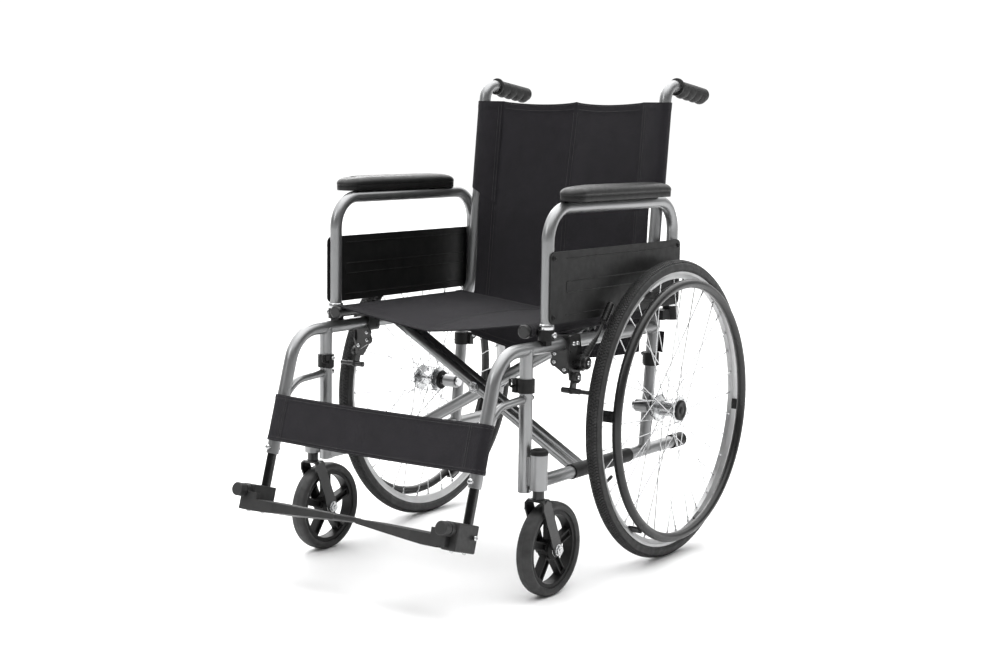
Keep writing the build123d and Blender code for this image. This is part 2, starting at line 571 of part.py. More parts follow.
def footrest_block():
    """Hinge block clamped on the tube, with the hinge pin and its round knob."""
    body = foot_block((-15, 49), (-16, 16), (-37, 14))
    body = fillet(body.edges(), 3)
    body -= rod(tuple(on_hanger(-40)), tuple(on_hanger(40)), FOOT_R)
    body -= rod(on_pin(18), on_pin(66), PIN_R)
    knob = rod(on_pin(62), on_pin(80), 13)
    knob = fillet(knob.edges(), 2)
    side = Vector(16, 0, 0) - HANGER_UP * 8
    outer_bolt = rod(tuple(PIN_POINT + side), tuple(PIN_POINT + side + Vector(6, 0, 0)), 4)
    return group(body, rod(on_pin(18), on_pin(66), PIN_R) + knob, outer_bolt)


def footplate():
    """Tapering plate that flips up on the hinge pin; its ear sits between block and knob."""
    reach = FRAME_X - FOOT_GAP
    top = -PLATE_TOP
    profile = [(PLATE_START, top), (reach, top), (reach, top - PLATE_THIN),
               (PLATE_START + 30, top - PLATE_DEEP), (PLATE_START, top - PLATE_DEEP)]
    side = Plane(origin=on_pin(PLATE_BACK), x_dir=(-1, 0, 0), z_dir=tuple(PIN_FORWARD))
    rise = 1 if side.y_dir.dot(HANGER_UP) > 0 else -1
    face = make_face(Polyline(*[(inward, rise * height) for inward, height in profile], close=True))
    plate = extrude(side * face, amount=PLATE_FRONT - PLATE_BACK)
    # the front edge slants back towards the inner end
    waste = make_face(Polyline((PLATE_FRONT + 1, INWARD * 70), (PLATE_FRONT - 16, INWARD * (reach + 5)),
                               (PLATE_FRONT + 50, INWARD * (reach + 5)), (PLATE_FRONT + 50, INWARD * 70),
                               close=True))
    plate -= extrude(FOOT_FRAME.offset(-60) * waste, amount=80)
    tips = [edge for edge in plate.edges() if edge.center().X < FOOT_GAP + 0.1 and edge.length > 60]
    plate = fillet(tips, PLATE_THIN / 2 - 0.2)
    ear_span = (49 + GAP, 60)
    ear = rod(on_pin(ear_span[0]), on_pin(ear_span[1]), 12.5)
    ear += foot_block(ear_span, (0, 34), (top - PLATE_DEEP + 3, -1))
    return plate + (ear - rod(on_pin(40), on_pin(70), PIN_R + RUN))


# ---- soft parts -----------------------------------------------------------------------
def seat_half():
    """Half of the seat sling, from its rail to the middle of the chair."""
    rail_top = SEAT_Z + SEAT_RAIL_R + GAP
    upper = [(SEAT_X, rail_top + FABRIC), (SEAT_X * 0.5, rail_top - SAG * 0.62 + FABRIC),
             (GAP, rail_top - SAG + FABRIC)]
    top = Spline(*upper)
    low = Spline(*[(x, z - FABRIC) for x, z in upper])
    face = make_face([top, Line(top @ 1, low @ 1), low, Line(low @ 0, top @ 0)])
    plane = Plane(origin=(0, SEAT_REAR_Y - 8, 0), x_dir=(1, 0, 0), z_dir=(0, -1, 0))
    sling = extrude(plane * face, amount=SEAT_REAR_Y - 16 - SEAT_FRONT_Y)
    return sling - rod((SEAT_X, -500, SEAT_Z), (SEAT_X, 100, SEAT_Z), SEAT_RAIL_R + GAP)


def back_half():
    """Half of the back upholstery: a sleeve round the cane and a panel that hangs to below the seat."""
    low = (CANE_X, cane_y(BACK_SLEEVE_Z), BACK_SLEEVE_Z)
    high = (CANE_X, cane_y(BACK_TOP), BACK_TOP)
    along = hypot(1, CANE_LEAN)      # length along the cane per mm of height
    side, middle = (height * along for height in BACK_HEM)
    top = BACK_TOP * along
    hem = ThreePointArc((GAP, middle), (BACK_EDGE_X / 2, middle + (side - middle) / 4), (BACK_EDGE_X, side))
    rest = Polyline((BACK_EDGE_X, side), (BACK_EDGE_X, top), (GAP, top), (GAP, middle))
    plane = Plane(origin=(0, cane_y(0), 0), x_dir=(1, 0, 0), z_dir=(0, -1, CANE_LEAN))
    panel = extrude(plane * make_face([hem, rest]), amount=FABRIC / 2, both=True)
    core_r = TUBE_R + GAP
    return panel + ring(low, high, core_r + 1.6, core_r)


def calf_half():
    """Half of the calf strap: a loop round the hanger and a band to the middle."""
    low, high = tuple(on_hanger(STRAP[0])), tuple(on_hanger(STRAP[1]))
    core_r, cloth = TUBE_R + GAP, 1.6
    loop = ring(low, high, core_r + cloth, core_r)
    axis = Vector(*high) - Vector(*low)
    plane = Plane(origin=low, x_dir=(1, 0, 0), z_dir=tuple(axis))
    reach = FRAME_X - GAP
    across = Pos(-reach / 2, -(core_r + cloth / 2)) * Rectangle(reach, cloth)
    band = extrude(plane * across, amount=axis.length) - rod(low, high, core_r)
    return (loop + band).solids().sort_by(SortBy.VOLUME)[-1]


# ---- everything -----------------------------------------------------------------------
def main():
    os.makedirs("parts", exist_ok=True)
    bored = bolt_hole(BOLT_R)
    running = bolt_hole(BOLT_R + RUN)
    arm_a = [leg - bored for leg in cross_arm(ARM_A_Y)]
    arm_b = [mirror(leg, about=Plane.YZ) - running for leg in cross_arm(ARM_B_Y)]
    save("cross_arm_a", group(*arm_a))
    save("cross_arm_b", group(*arm_b))
    save("cross_bolt", cross_bolt())
    builders = (
        top_tube, lower_frame, back_cane, push_grip, frame_fittings, frame_bolts, brake_body, brake_lever,
        brake_shoe, rear_tyre, rear_rim, rear_spokes, rear_hub, handrim, caster_fork, caster_wheel,
        caster_tyre, footrest_tube, footrest_block, footplate, armrest_frame, armrest_pad, side_panel,
        seat_rail, pivot_sleeve, seat_half, back_half, calf_half,
    )
    for build in builders:
        shape = build()
        save(f"left_{build.__name__}", shape)
        save(f"right_{build.__name__}", mirror(shape, about=Plane.YZ))


main()
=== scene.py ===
import json
from math import atan2, ceil, cos, exp, pi, radians, sin, sqrt

import bmesh
import bpy
from mathutils import Matrix, Vector, noise


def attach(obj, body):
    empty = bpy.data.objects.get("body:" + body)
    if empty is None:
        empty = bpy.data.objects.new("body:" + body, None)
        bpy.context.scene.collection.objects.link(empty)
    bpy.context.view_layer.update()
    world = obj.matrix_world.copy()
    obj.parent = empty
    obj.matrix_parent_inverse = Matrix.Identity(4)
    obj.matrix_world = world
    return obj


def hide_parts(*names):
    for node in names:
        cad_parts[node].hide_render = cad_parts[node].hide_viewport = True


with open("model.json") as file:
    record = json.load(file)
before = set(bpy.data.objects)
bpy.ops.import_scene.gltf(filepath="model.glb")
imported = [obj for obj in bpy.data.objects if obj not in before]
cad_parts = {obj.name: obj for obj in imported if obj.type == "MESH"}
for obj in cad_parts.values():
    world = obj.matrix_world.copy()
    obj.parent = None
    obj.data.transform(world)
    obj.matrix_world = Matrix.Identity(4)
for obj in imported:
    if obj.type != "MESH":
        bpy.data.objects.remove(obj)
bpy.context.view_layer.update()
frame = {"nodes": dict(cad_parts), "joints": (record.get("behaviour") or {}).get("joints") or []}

# Looks of the folding manual wheelchair. Sizes are in millimetres and y is measured from the rear axle,
# as in the CAD source; at() turns them into the frame's metres.
SIDES = (("left", 1), ("right", -1))
OUT = (1, 0, 0)         # away from the chair on its left side, where the pieces are built

# ---- places and sizes of the frame that the soft pieces and small details fit --------------
FRAME_X = 244.0         # side frame
CANE_X = 229.0          # back cane above the seat
ARM_X = 257.0           # armrest hoop
TOP_Z = 466.0           # top tube
BOTTOM_Z = 210.0        # bottom rail
TUBE_R = 12.5
POST_Y = -427.0         # front post
CANE_Y = 22.0           # rear post at the height of the axle
CANE_LEAN = 0.1065
AXLE_Z = 305.0
PIN = (-607.2, 158.2)   # footplate pin, y and z
HANGER_LEAN = radians(16.5)
SEAT_X = 229.0
SEAT_Z = 497.0
CASTER = (277.0, -391.0, 89.5)
LEVER_PIVOT = (-278.0, 428.0)
LEVER_TIP = (-194.0, 536.0)
SHOE_PIVOT = (-299.0, 402.0)
SHOE_ROD = (-308.0, 377.0)
GRIP_START = (131.0, 957.9)
GRIP_END = (252.0, 942.3)
PANEL_FACE_X = 271.6    # outer face of the side panel
PANEL_INNER_X = 269.0
ARM_LEGS = (-382.0, 82.5)
LEVER_X = 281.5         # the lever's grip

HANGER_UP = Vector((0, sin(HANGER_LEAN), cos(HANGER_LEAN)))
HANGER_FRONT = Vector((0, -cos(HANGER_LEAN), sin(HANGER_LEAN)))
PIN_POINT = Vector((FRAME_X, *PIN))

joint_place = {joint["name"]: joint["pos_m"] for joint in frame["joints"] if "pos_m" in joint}
AXLE_BACK = joint_place["left_wheel_spin"][1]
WHEEL_X = joint_place["left_wheel_spin"][0] * 1000


def at(x, y, z):
    """A point of the frame, in metres."""
    return Vector((x * 0.001, y * 0.001 + AXLE_BACK, z * 0.001))


def at_point(point):
    return at(*point)


def cane_y(z):
    return CANE_Y + CANE_LEAN * (z - AXLE_Z)


def on_hanger(height):
    return PIN_POINT + HANGER_UP * height


# ---- materials --------------------------------------------------------------------------
def add_node(tree, kind, inputs=(), **settings):
    """A shader node whose inputs are linked where a socket is given and set where a value is."""
    made = tree.nodes.new(kind)
    for key, value in settings.items():
        setattr(made, key, value)
    for key, value in inputs:
        if isinstance(value, bpy.types.NodeSocket):
            tree.links.new(value, made.inputs[key])
        else:
            made.inputs[key].default_value = value
    return made


def spread_node(tree, source, *limits):
    """The source mapped from (low, high) to (low, high)."""
    return add_node(tree, "ShaderNodeMapRange", ((0, source), *enumerate(limits, 1))).outputs[0]


class Look:
    """A procedural material whose colour, gloss and surface come from noise over the object."""

    def __init__(self, name, rough, metallic=0.0, sheen=0.0, coat=0.0, specular=0.5, edge=0.0):
        self.name = name
        self.material = bpy.data.materials.new("look_" + name)
        self.material.use_nodes = True
        self.tree = self.material.node_tree
        self.shader = self.tree.nodes["Principled BSDF"]
        settings = {"Roughness": rough, "Metallic": metallic, "Sheen Weight": sheen,
                    "Coat Weight": coat, "Specular IOR Level": specular}
        for key, value in settings.items():
            self.shader.inputs[key].default_value = value
        self.shader.inputs["Sheen Roughness"].default_value = 0.5
        self.place = self.node("ShaderNodeTexCoord").outputs["Object"]
        self.surface = None
        self.worn = None
        if edge:
            self.soften(edge)

    def node(self, kind, inputs=(), **settings):
        return add_node(self.tree, kind, inputs, **settings)

    def math(self, operation, first, second=0.0):
        return self.node("ShaderNodeMath", ((0, first), (1, second)), operation=operation).outputs[0]

    def soften(self, radius):
        """Rounds hard edges by a small radius and remembers where they are, for wear."""
        rounded = self.node("ShaderNodeBevel", (("Radius", radius),), samples=4).outputs["Normal"]
        flat = self.node("ShaderNodeNewGeometry").outputs["Normal"]
        same = self.node("ShaderNodeVectorMath", ((0, rounded), (1, flat)), operation="DOT_PRODUCT")
        self.worn = self.spread(same.outputs["Value"], 0.995, 0.9, 0.0, 1.0)
        self.surface = rounded
        self.tree.links.new(rounded, self.shader.inputs["Normal"])

    def noise(self, size, detail=3.0, stretch=(1.0, 1.0, 1.0)):
        """Cloudy noise with features about size metres across."""
        place = self.node("ShaderNodeMapping", (("Vector", self.place), ("Scale", stretch)))
        settings = (("Vector", place.outputs["Vector"]), ("Scale", 1 / size), ("Detail", detail))
        return self.node("ShaderNodeTexNoise", settings).outputs["Fac"]

    def source(self, factor):
        """A socket as it is, or the noise for a number or a tuple of noise's settings."""
        if isinstance(factor, bpy.types.NodeSocket):
            return factor
        return self.noise(*factor) if isinstance(factor, tuple) else self.noise(factor)

    def cells(self, size):
        settings = (("Vector", self.place), ("Scale", 1 / size))
        return self.node("ShaderNodeTexVoronoi", settings, feature="DISTANCE_TO_EDGE").outputs["Distance"]

    def weave(self, pitch):
        """Plain weave, warp and weft crossing over and under, with the thread pitch in metres."""
        split = self.node("ShaderNodeSeparateXYZ", (("Vector", self.place),))
        x = split.outputs["X"]
        other = self.math("ADD", split.outputs["Y"], split.outputs["Z"])
        across = self.math("SINE", self.math("MULTIPLY", x, 2 * pi / pitch))
        along = self.math("SINE", self.math("MULTIPLY", other, 2 * pi / pitch))
        return self.math("MULTIPLY", across, along)

    def spread(self, source, *limits):
        return spread_node(self.tree, source, *limits)

    def paint(self, factor, dark, light, worn=None):
        """Mixes two colours, and shows a third one on worn edges."""
        share = self.spread(self.source(factor), 0.3, 0.7, 0.0, 1.0)
        settings = ((0, share), (6, (*dark, 1)), (7, (*light, 1)))
        colour = self.node("ShaderNodeMix", settings, data_type="RGBA").outputs[2]
        if worn and self.worn:
            patches = self.spread(self.noise(0.006), 0.42, 0.62, 0.0, 1.0)
            patchy = self.math("MULTIPLY", self.worn, patches)
            settings = ((0, patchy), (6, colour), (7, (*worn, 1)))
            colour = self.node("ShaderNodeMix", settings, data_type="RGBA").outputs[2]
        self.tree.links.new(colour, self.shader.inputs["Base Color"])

    def gloss(self, factor, low, high):
        rough = self.spread(self.source(factor), 0.3, 0.7, low, high)
        self.tree.links.new(rough, self.shader.inputs["Roughness"])

    def bump(self, height, depth):
        """Raises the surface by up to depth metres; height is a socket or noise settings."""
        settings = [("Height", self.source(height)), ("Distance", depth), ("Strength", 1.0)]
        if self.surface:
            settings.append(("Normal", self.surface))
        self.surface = self.node("ShaderNodeBump", settings).outputs["Normal"]
        self.tree.links.new(self.surface, self.shader.inputs["Normal"])


def grey(value, tint=0.0):
    """A neutral colour, a little cooler for a positive tint."""
    return (value * (1 - tint), value, value * (1 + tint))


def make_looks():
    silver = Look("silver_frame", 0.36, metallic=0.85, edge=0.0005)
    flakes = silver.noise(0.0004, 1.0)
    clouds = silver.noise(0.05)
    both = silver.math("ADD", silver.math("MULTIPLY", flakes, 0.5), silver.math("MULTIPLY", clouds, 0.5))
    silver.paint(both, grey(0.24, 0.01), grey(0.28, 0.01), grey(0.33))
    silver.gloss(0.02, 0.29, 0.36)
    silver.bump((0.003, 2.0), 0.00001)

    steel = Look("silver_steel", 0.25, metallic=1.0, edge=0.0005)
    steel.paint(0.012, grey(0.5, 0.01), grey(0.56, 0.01), grey(0.7))
    steel.gloss(0.01, 0.2, 0.28)
    steel.bump((0.0012, 3.0, (1.0, 1.0, 6.0)), 0.00002)

    # Chrome of the footrest tubes: its near-black colour is a painted reflection, dark surroundings
    # painted into the metal instead of the metal's own bright tone.
    chrome = Look("chrome_painted_dark_reflection", 0.16, metallic=1.0, edge=0.0005)
    chrome.paint(0.02, grey(0.05), grey(0.07), grey(0.3))
    chrome.gloss(0.01, 0.12, 0.2)
    chrome.bump((0.0015, 2.0, (1.0, 1.0, 0.2)), 0.00001)

    plastic = Look("black_plastic", 0.45, specular=0.2, edge=0.0008)
    plastic.paint(0.03, grey(0.006), grey(0.011), grey(0.03))
    plastic.gloss(0.012, 0.38, 0.52)
    plastic.bump((0.0009, 2.0), 0.00006)

    paint = Look("black_paint", 0.3, specular=0.4, coat=0.1, edge=0.0008)
    paint.paint(0.02, grey(0.006), grey(0.011), grey(0.07))
    paint.gloss(0.01, 0.26, 0.4)
    paint.bump((0.002, 2.0), 0.00003)

    rubber = Look("grip_rubber", 0.55, specular=0.35, edge=0.001)
    rubber.paint(0.015, grey(0.008), grey(0.015), grey(0.03))
    rubber.gloss(0.01, 0.5, 0.68)
    rubber.bump(rubber.cells(0.0014), 0.00012)

    tyre = Look("tyre", 0.62, edge=0.0006)
    tyre.paint((0.02, 4.0), grey(0.012), grey(0.024), grey(0.04))
    tyre.gloss(0.012, 0.5, 0.72)
    tyre.bump((0.0012, 3.0), 0.00006)

    rim = Look("rim", 0.34, metallic=0.55, edge=0.0005)
    rim.paint(0.04, grey(0.44, 0.005), grey(0.54, 0.005), grey(0.65))
    rim.gloss(0.01, 0.3, 0.42)
    rim.bump((0.0015, 2.0, (6.0, 1.0, 1.0)), 0.00002)

    fabric = Look("charcoal_fabric", 0.85, sheen=0.06, specular=0.12)
    weave = fabric.weave(0.0011)
    clouds = fabric.math("MULTIPLY", fabric.noise(0.035, 4.0), 0.7)
    mottled = fabric.math("ADD", clouds, fabric.math("MULTIPLY", weave, 0.12))
    fabric.paint(fabric.math("ADD", mottled, 0.15), (0.0140, 0.0130, 0.0155), (0.0185, 0.0170, 0.0205))
    fabric.gloss(0.004, 0.76, 0.92)
    fabric.bump((0.012, 3.0), 0.0003)
    fabric.bump(weave, 0.00022)

    vinyl = Look("pad", 0.42, specular=0.25)
    vinyl.paint(0.03, grey(0.008), grey(0.014))
    vinyl.gloss(0.008, 0.36, 0.5)
    vinyl.bump((0.01, 3.0), 0.0003)
    vinyl.bump(vinyl.cells(0.0016), 0.0002)

    moulded = Look("grey_plastic", 0.5, specular=0.4, edge=0.0009)
    moulded.paint(0.025, grey(0.012), grey(0.02), grey(0.1))
    moulded.gloss(0.01, 0.42, 0.58)
    moulded.bump((0.0011, 2.0), 0.00012)

    thread = Look("thread", 0.6, sheen=0.2)
    thread.paint(0.003, grey(0.008), grey(0.018))
    thread.bump((0.0006, 2.0, (1.0, 1.0, 4.0)), 0.00008)

    ground = Look("ground", 0.7)
    ground.paint(0.4, grey(0.9), grey(0.91))
    ground.bump(0.02, 0.00005)
    looks = (silver, steel, chrome, plastic, paint, rubber, tyre, rim, fabric, vinyl, moulded, thread,
             ground)
    return {look.name: look.material for look in looks}


LOOKS = make_looks()


def dress_cad_nodes():
    """Every carried-over CAD node takes the detailed material of its slot."""
    for node in frame["nodes"].values():
        for holder in node.material_slots:
            holder.material = LOOKS[holder.material.name]
    for name, _ in SIDES:
        # The footrest tubes take the chrome whose near-black colour is a painted dark reflection.
        frame["nodes"][f"{name}_footrest_tube"].material_slots[0].material = LOOKS["chrome_painted_dark_reflection"]


# ---- mesh helpers -----------------------------------------------------------------------
def skin(bm, rows, close_rows=False, close_columns=False, caps=False):
    """Quads over a lattice of points; caps closes the first and the last row with a face."""
    verts = [[bm.verts.new(point) for point in row] for row in rows]
    count, width = len(rows), len(rows[0])
    for i in range(count if close_rows else count - 1):
        below, above = verts[i], verts[(i + 1) % count]
        for j in range(width if close_columns else width - 1):
            k = (j + 1) % width
            bm.faces.new((below[j], below[k], above[k], above[j]))
    if caps:
        bm.faces.new(verts[0])
        bm.faces.new(verts[-1])
    return verts


def add_piece(name, bm, body, slot, look=None, crease=35.0):
    """Makes the finished mesh an object that rides a CAD body and takes its finish from a slot."""
    bmesh.ops.recalc_face_normals(bm, faces=bm.faces)
    mesh = bpy.data.meshes.new(name)
    bm.to_mesh(mesh)
    bm.free()
    mesh.shade_smooth()
    mesh.set_sharp_from_angle(angle=radians(crease))
    mesh.materials.append(LOOKS[look or slot])
    piece = bpy.data.objects.new(name, mesh)
    bpy.context.scene.collection.objects.link(piece)
    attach(piece, body)
    return piece


def add_side(label, bm, name, side, body, slot, **looks):
    """A piece built for the left side, or its mirror image for the right one."""
    if side < 0:
        bmesh.ops.scale(bm, verts=bm.verts, vec=(-1, 1, 1))
    return add_piece(f"{name}_{label}", bm, f"{name}_{body}", slot, **looks)


def frames_along(points, closed):
    """A direction and two normals at each point, turned as little as possible from one to the next."""
    count = len(points)
    result, normal = [], None
    for i in range(count):
        ahead = points[(i + 1) % count] if closed else points[min(i + 1, count - 1)]
        behind = points[i - 1] if closed or i else points[0]
        forward = (ahead - behind).normalized()
        if normal is None:
            normal = forward.orthogonal()
        normal = (normal - forward * normal.dot(forward)).normalized()
        result.append((normal, forward.cross(normal)))
    return result


def cord_mesh(bm, points, radius, sides=8, closed=False):
    """A round bead or rod along points, in metres; radius is a number or a list, one for each point."""
    radii = radius if isinstance(radius, list) else [radius] * len(points)
    rows = []
    for point, (one, two), r in zip(points, frames_along(points, closed), radii):
        ring = [2 * pi * k / sides for k in range(sides)]
        rows.append([point + one * (r * cos(a)) + two * (r * sin(a)) for a in ring])
    skin(bm, rows, close_rows=closed, close_columns=True, caps=not closed)


def turned(bm, profile, centre, axis, steps=48, hexagon=()):
    """A body of revolution from (distance along the axis, radius) points in mm; hexagon lists the
    profile points whose ring is six-sided. A radius of 0 closes the body."""
    axis = Vector(axis).normalized()
    one = axis.orthogonal().normalized()
    two = axis.cross(one)
    rows = []
    for k in range(steps):
        angle = 2 * pi * k / steps
        out = one * cos(angle) + two * sin(angle)
        flat = cos(pi / 6) / cos(angle % (pi / 3) - pi / 6)
        rows.append([centre + axis * (along * 0.001) + out * (r * 0.001 * (flat if i in hexagon else 1))
                     for i, (along, r) in enumerate(profile)])
    skin(bm, rows, close_rows=True)
    bmesh.ops.remove_doubles(bm, verts=bm.verts, dist=1e-7)


def screw_head(bm, centre, axis, r, height):
    """A low domed screw head with a hexagon socket."""
    profile = [(-0.3, r), (height * 0.35, r), (height * 0.8, r * 0.82), (height, r * 0.55),
               (height, r * 0.48), (height * 0.25, r * 0.44), (height * 0.2, 0)]
    turned(bm, profile, centre, axis, 48, (4, 5))


def add_screws(label, name, side, body, screws, slot="silver_steel"):
    """Screw heads, each given by its centre, direction, radius and height."""
    bm = bmesh.new()
    for screw in screws:
        screw_head(bm, *screw)
    add_side(label, bm, name, side, body, slot)


def hex_nut(bm, centre, axis, flat_r, height):
    """A hexagon nut on a washer, with a rounded screw end."""
    corner = flat_r / cos(pi / 6)
    profile = [(0, corner * 1.12), (1.0, corner * 1.12), (1.0, corner), (height - 0.6, corner),
               (height, corner * 0.92), (height, flat_r * 0.52), (height + 1.6, flat_r * 0.48),
               (height + 2.0, 0)]
    turned(bm, profile, centre, axis, 48, (2, 3, 4))


def through(knots, x):
    """A smooth curve through (x, value) knots, level beyond its ends."""
    if x <= knots[0][0]:
        return knots[0][1]
    if x >= knots[-1][0]:
        return knots[-1][1]
    slopes = []
    for i in range(len(knots)):
        low, high = knots[max(i - 1, 0)], knots[min(i + 1, len(knots) - 1)]
        slopes.append((high[1] - low[1]) / (high[0] - low[0]))
    i = next(k for k in range(1, len(knots)) if x <= knots[k][0])
    (x0, v0), (x1, v1) = knots[i - 1], knots[i]
    span = x1 - x0
    t = (x - x0) / span
    rise = slopes[i - 1] * span * t * (1 - t) ** 2 - slopes[i] * span * t * t * (1 - t)
    return v0 + (v1 - v0) * t * t * (3 - 2 * t) + rise


def stations(breaks, step):
    """Values from the first break to the last, through each break and never further apart than step."""
    values = [breaks[0]]
    for low, high in zip(breaks, breaks[1:]):
        parts = max(1, ceil(abs(high - low) / step))
        values += [low + (high - low) * k / parts for k in range(1, parts + 1)]
    return values


def ripple(x, y, z, size, seed=0.0):
    """Smooth noise about -1 to 1 over a length of size mm."""
    return noise.noise(Vector((x / size + seed, y / size, z / size)))


# ---- cloth ------------------------------------------------------------------------------
def facing(shape, u, v):
    across = shape(u + 0.5, v) - shape(u - 0.5, v)
    along = shape(u, v + 0.5) - shape(u, v - 0.5)
    return across.cross(along).normalized()


def cloth_mesh(shape, us, vs, thick, flip=1, relief=None):
    """A closed sheet of cloth: shape(u, v) is its front face in mm, and the back face is thick mm behind.
    vs is a list, or a function of u that gives one; relief(u, v) raises hems and seams, in mm."""
    bm = bmesh.new()
    columns = [vs(u) if callable(vs) else vs for u in us]
    rows = []
    for i in range(len(columns[0])):
        front, back = [], []
        for u, column in zip(us, columns):
            v = column[i]
            point, out = shape(u, v), facing(shape, u, v) * flip
            proud = relief(u, v) if relief else 0.0
            front.append(at_point(point + out * proud))
            back.append(at_point(point - out * thick))
        rows.append(front + back[::-1])
    verts = skin(bm, rows, close_columns=True)
    for loop in (verts[0], verts[-1]):
        for j in range(len(us) - 1):
            bm.faces.new((loop[j], loop[j + 1], loop[-2 - j], loop[-1 - j]))
    return bm


def stitch(bm, shape, path, flip=1, proud=0.5, pitch=4.2):
    """A row of lock stitches over a cloth's face, along a list of (u, v) points."""
    line = []
    for (u0, v0), (u1, v1) in zip(path, path[1:]):
        span = (shape(u1, v1) - shape(u0, v0)).length
        parts = max(1, round(span))
        line += [(u0 + (u1 - u0) * k / parts, v0 + (v1 - v0) * k / parts) for k in range(parts)]
    count = int(len(line) / pitch)
    for number in range(count):
        start = number * pitch + 0.4
        points = []
        for share, lift in ((0.0, -0.35), (0.2, 0.15), (0.5, 0.3), (0.8, 0.15), (1.0, -0.35)):
            u, v = line[min(int(start + share * (pitch - 1.1)), len(line) - 1)]
            nudge = share * 1e-3
            out = facing(shape, u, v) * flip
            points.append(at_point(shape(u + nudge, v + nudge) + out * (proud + lift)))
        cord_mesh(bm, points, 0.00042, 5)


# ---- seat -------------------------------------------------------------------------------
SEAT_FRONT, SEAT_REAR = -408.0, 8.0
RAIL_WRAP_R = 12.3
SEAT_WRAP = radians(165) * RAIL_WRAP_R
# height of the seat's middle line, from front to back
SEAT_MIDDLE = [(-411, 477.5), (-370, 485), (-321, 490), (-271, 494), (-167, 495), (-95, 492), (-39, 489),
               (10, 487)]
CLOTH = 1.6             # thickness of the seat and back cloth


def seat_shape(side):
    def shape(u, v):
        """u runs from the middle of the seat over its rail, v from front to back."""
        top = SEAT_Z + RAIL_WRAP_R
        if u <= SEAT_X:
            share = max(u, 0.0) / SEAT_X
            sag = (top - through(SEAT_MIDDLE, v)) * (1 - share ** 1.2)
            x, z = u, top - sag
            swell = sin(pi * min(share, 1.0))
            z += swell * (0.9 * ripple(side * u, v, 0, 70.0) + 0.35 * ripple(side * u, v, 0, 22.0, 4.0))
            z += 0.5 * sin(v / 9.0) * exp(-((SEAT_X - u - 10) / 9.0) ** 2)
        else:
            angle = pi / 2 - (u - SEAT_X) / RAIL_WRAP_R
            x, z = SEAT_X + RAIL_WRAP_R * cos(angle), SEAT_Z + RAIL_WRAP_R * sin(angle)
        return Vector((side * x, v, z))
    return shape


def seat_relief(u, v):
    hem = 0.8 if v < SEAT_FRONT + 16 or v > SEAT_REAR - 16 else 0.0
    middle = 0.6 * exp(-(u / 1.6) ** 2)
    return hem + middle


def make_seat(name, side):
    shape = seat_shape(side)
    us = stations([-0.6, 1.2, 3.0, 8.0, SEAT_X - 24, SEAT_X, SEAT_X + SEAT_WRAP], 6.0)
    vs = stations([SEAT_FRONT, SEAT_FRONT + 1, SEAT_FRONT + 15, SEAT_FRONT + 16.5, SEAT_REAR - 16.5,
                   SEAT_REAR - 15, SEAT_REAR - 1, SEAT_REAR], 7.0)
    sling = cloth_mesh(shape, us, vs, CLOTH, side, seat_relief)
    sling = add_piece(f"{name}_seat_sling", sling, f"{name}_seat_half", "charcoal_fabric", crease=60)
    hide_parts(f"{name}_seat_half")
    seams = bmesh.new()
    end = SEAT_X + SEAT_WRAP - 3
    for line in (SEAT_FRONT + 3, SEAT_FRONT + 12.5, SEAT_REAR - 3, SEAT_REAR - 12.5):
        stitch(seams, shape, [(3.0, line), (end, line)], side, 0.9)
    for line in (5.5, SEAT_X - 14.0):
        stitch(seams, shape, [(line, SEAT_FRONT + 4), (line, SEAT_REAR - 4)], side, 0.15)
    thread = add_piece(f"{name}_seat_stitching", seams, f"{name}_seat_half", "charcoal_fabric", "thread")


# ---- back -------------------------------------------------------------------------------
BACK_TOP = 925.0
BACK_SEAM_X = 178.0     # seam of the sleeve
PANEL_EDGE_X = 216.0
SLEEVE_R = 14.0
SLEEVE_LOW = 702.0
# how far the back's middle line lies behind the canes, by height
BILLOW = [(380, 3), (520, 6), (619, 8.5), (690, 7), (801, 14), (876, 19), (926, 21)]


def back_low(x):
    return 381.0 + 30.0 * (x / PANEL_EDGE_X) ** 2


def back_high(x):
    share = min(x / BACK_SEAM_X, 1.0)
    return BACK_TOP - 7.0 * sin(pi * share) ** 0.7 * (1 - 0.25 * share)


def back_shape(side):
    def shape(u, v):
        """u is the distance from the middle, v the height; the face looks forward."""
        x = max(u, 0.0)
        share = min(x / BACK_SEAM_X, 1.0)
        y = cane_y(v) + through(BILLOW, v) * (1 - share) ** 1.12 - 0.8
        y += 1.0 * ripple(side * x, 0, v, 90.0) + 0.35 * ripple(side * x, 0, v, 28.0, 7.0)
        y += 0.4 * sin(v / 1.9) * exp(-((x - BACK_SEAM_X + 4) / 7.0) ** 2)
        y += 0.3 * sin(v / 2.3 + 1) * exp(-(x / 6.0) ** 2)
        outer = max(x - BACK_SEAM_X, 0.0) / (CANE_X - BACK_SEAM_X)
        y -= (SLEEVE_R - 1.9) * sin(pi / 2 * outer) * (0.35 + 0.65 * min(max((v - 560) / 130, 0.0), 1.0))
        if side > 0:
            y += 1.2 * exp(-((v - 815 - x) / 5.0) ** 2) * exp(-((x - 8) / 14.0) ** 2)
        return Vector((side * u, y, v))
    return shape


def sleeve_shape(side):
    reach = CANE_X - BACK_SEAM_X
    arc = pi * SLEEVE_R

    def shape(u, v):
        """u runs from the front seam round the cane to the seam behind."""
        low = sqrt(reach * reach + SLEEVE_R * SLEEVE_R)
        if u < low:
            share = u / low
            x, y = BACK_SEAM_X + reach * share, -1.9 - (SLEEVE_R - 1.9) * sin(pi / 2 * share)
        elif u <= low + arc:
            angle = (u - low) / SLEEVE_R
            x, y = CANE_X + SLEEVE_R * sin(angle), -SLEEVE_R * cos(angle)
        else:
            share = min((u - low - arc) / low, 1.02)
            x, y = CANE_X - reach * share, 1.9 + (SLEEVE_R - 1.9) * cos(pi / 2 * min(share, 1.0))
        y += 0.35 * ripple(side * x, y, v, 26.0, 3.0)
        return Vector((side * x, cane_y(v) + y, v))
    return shape


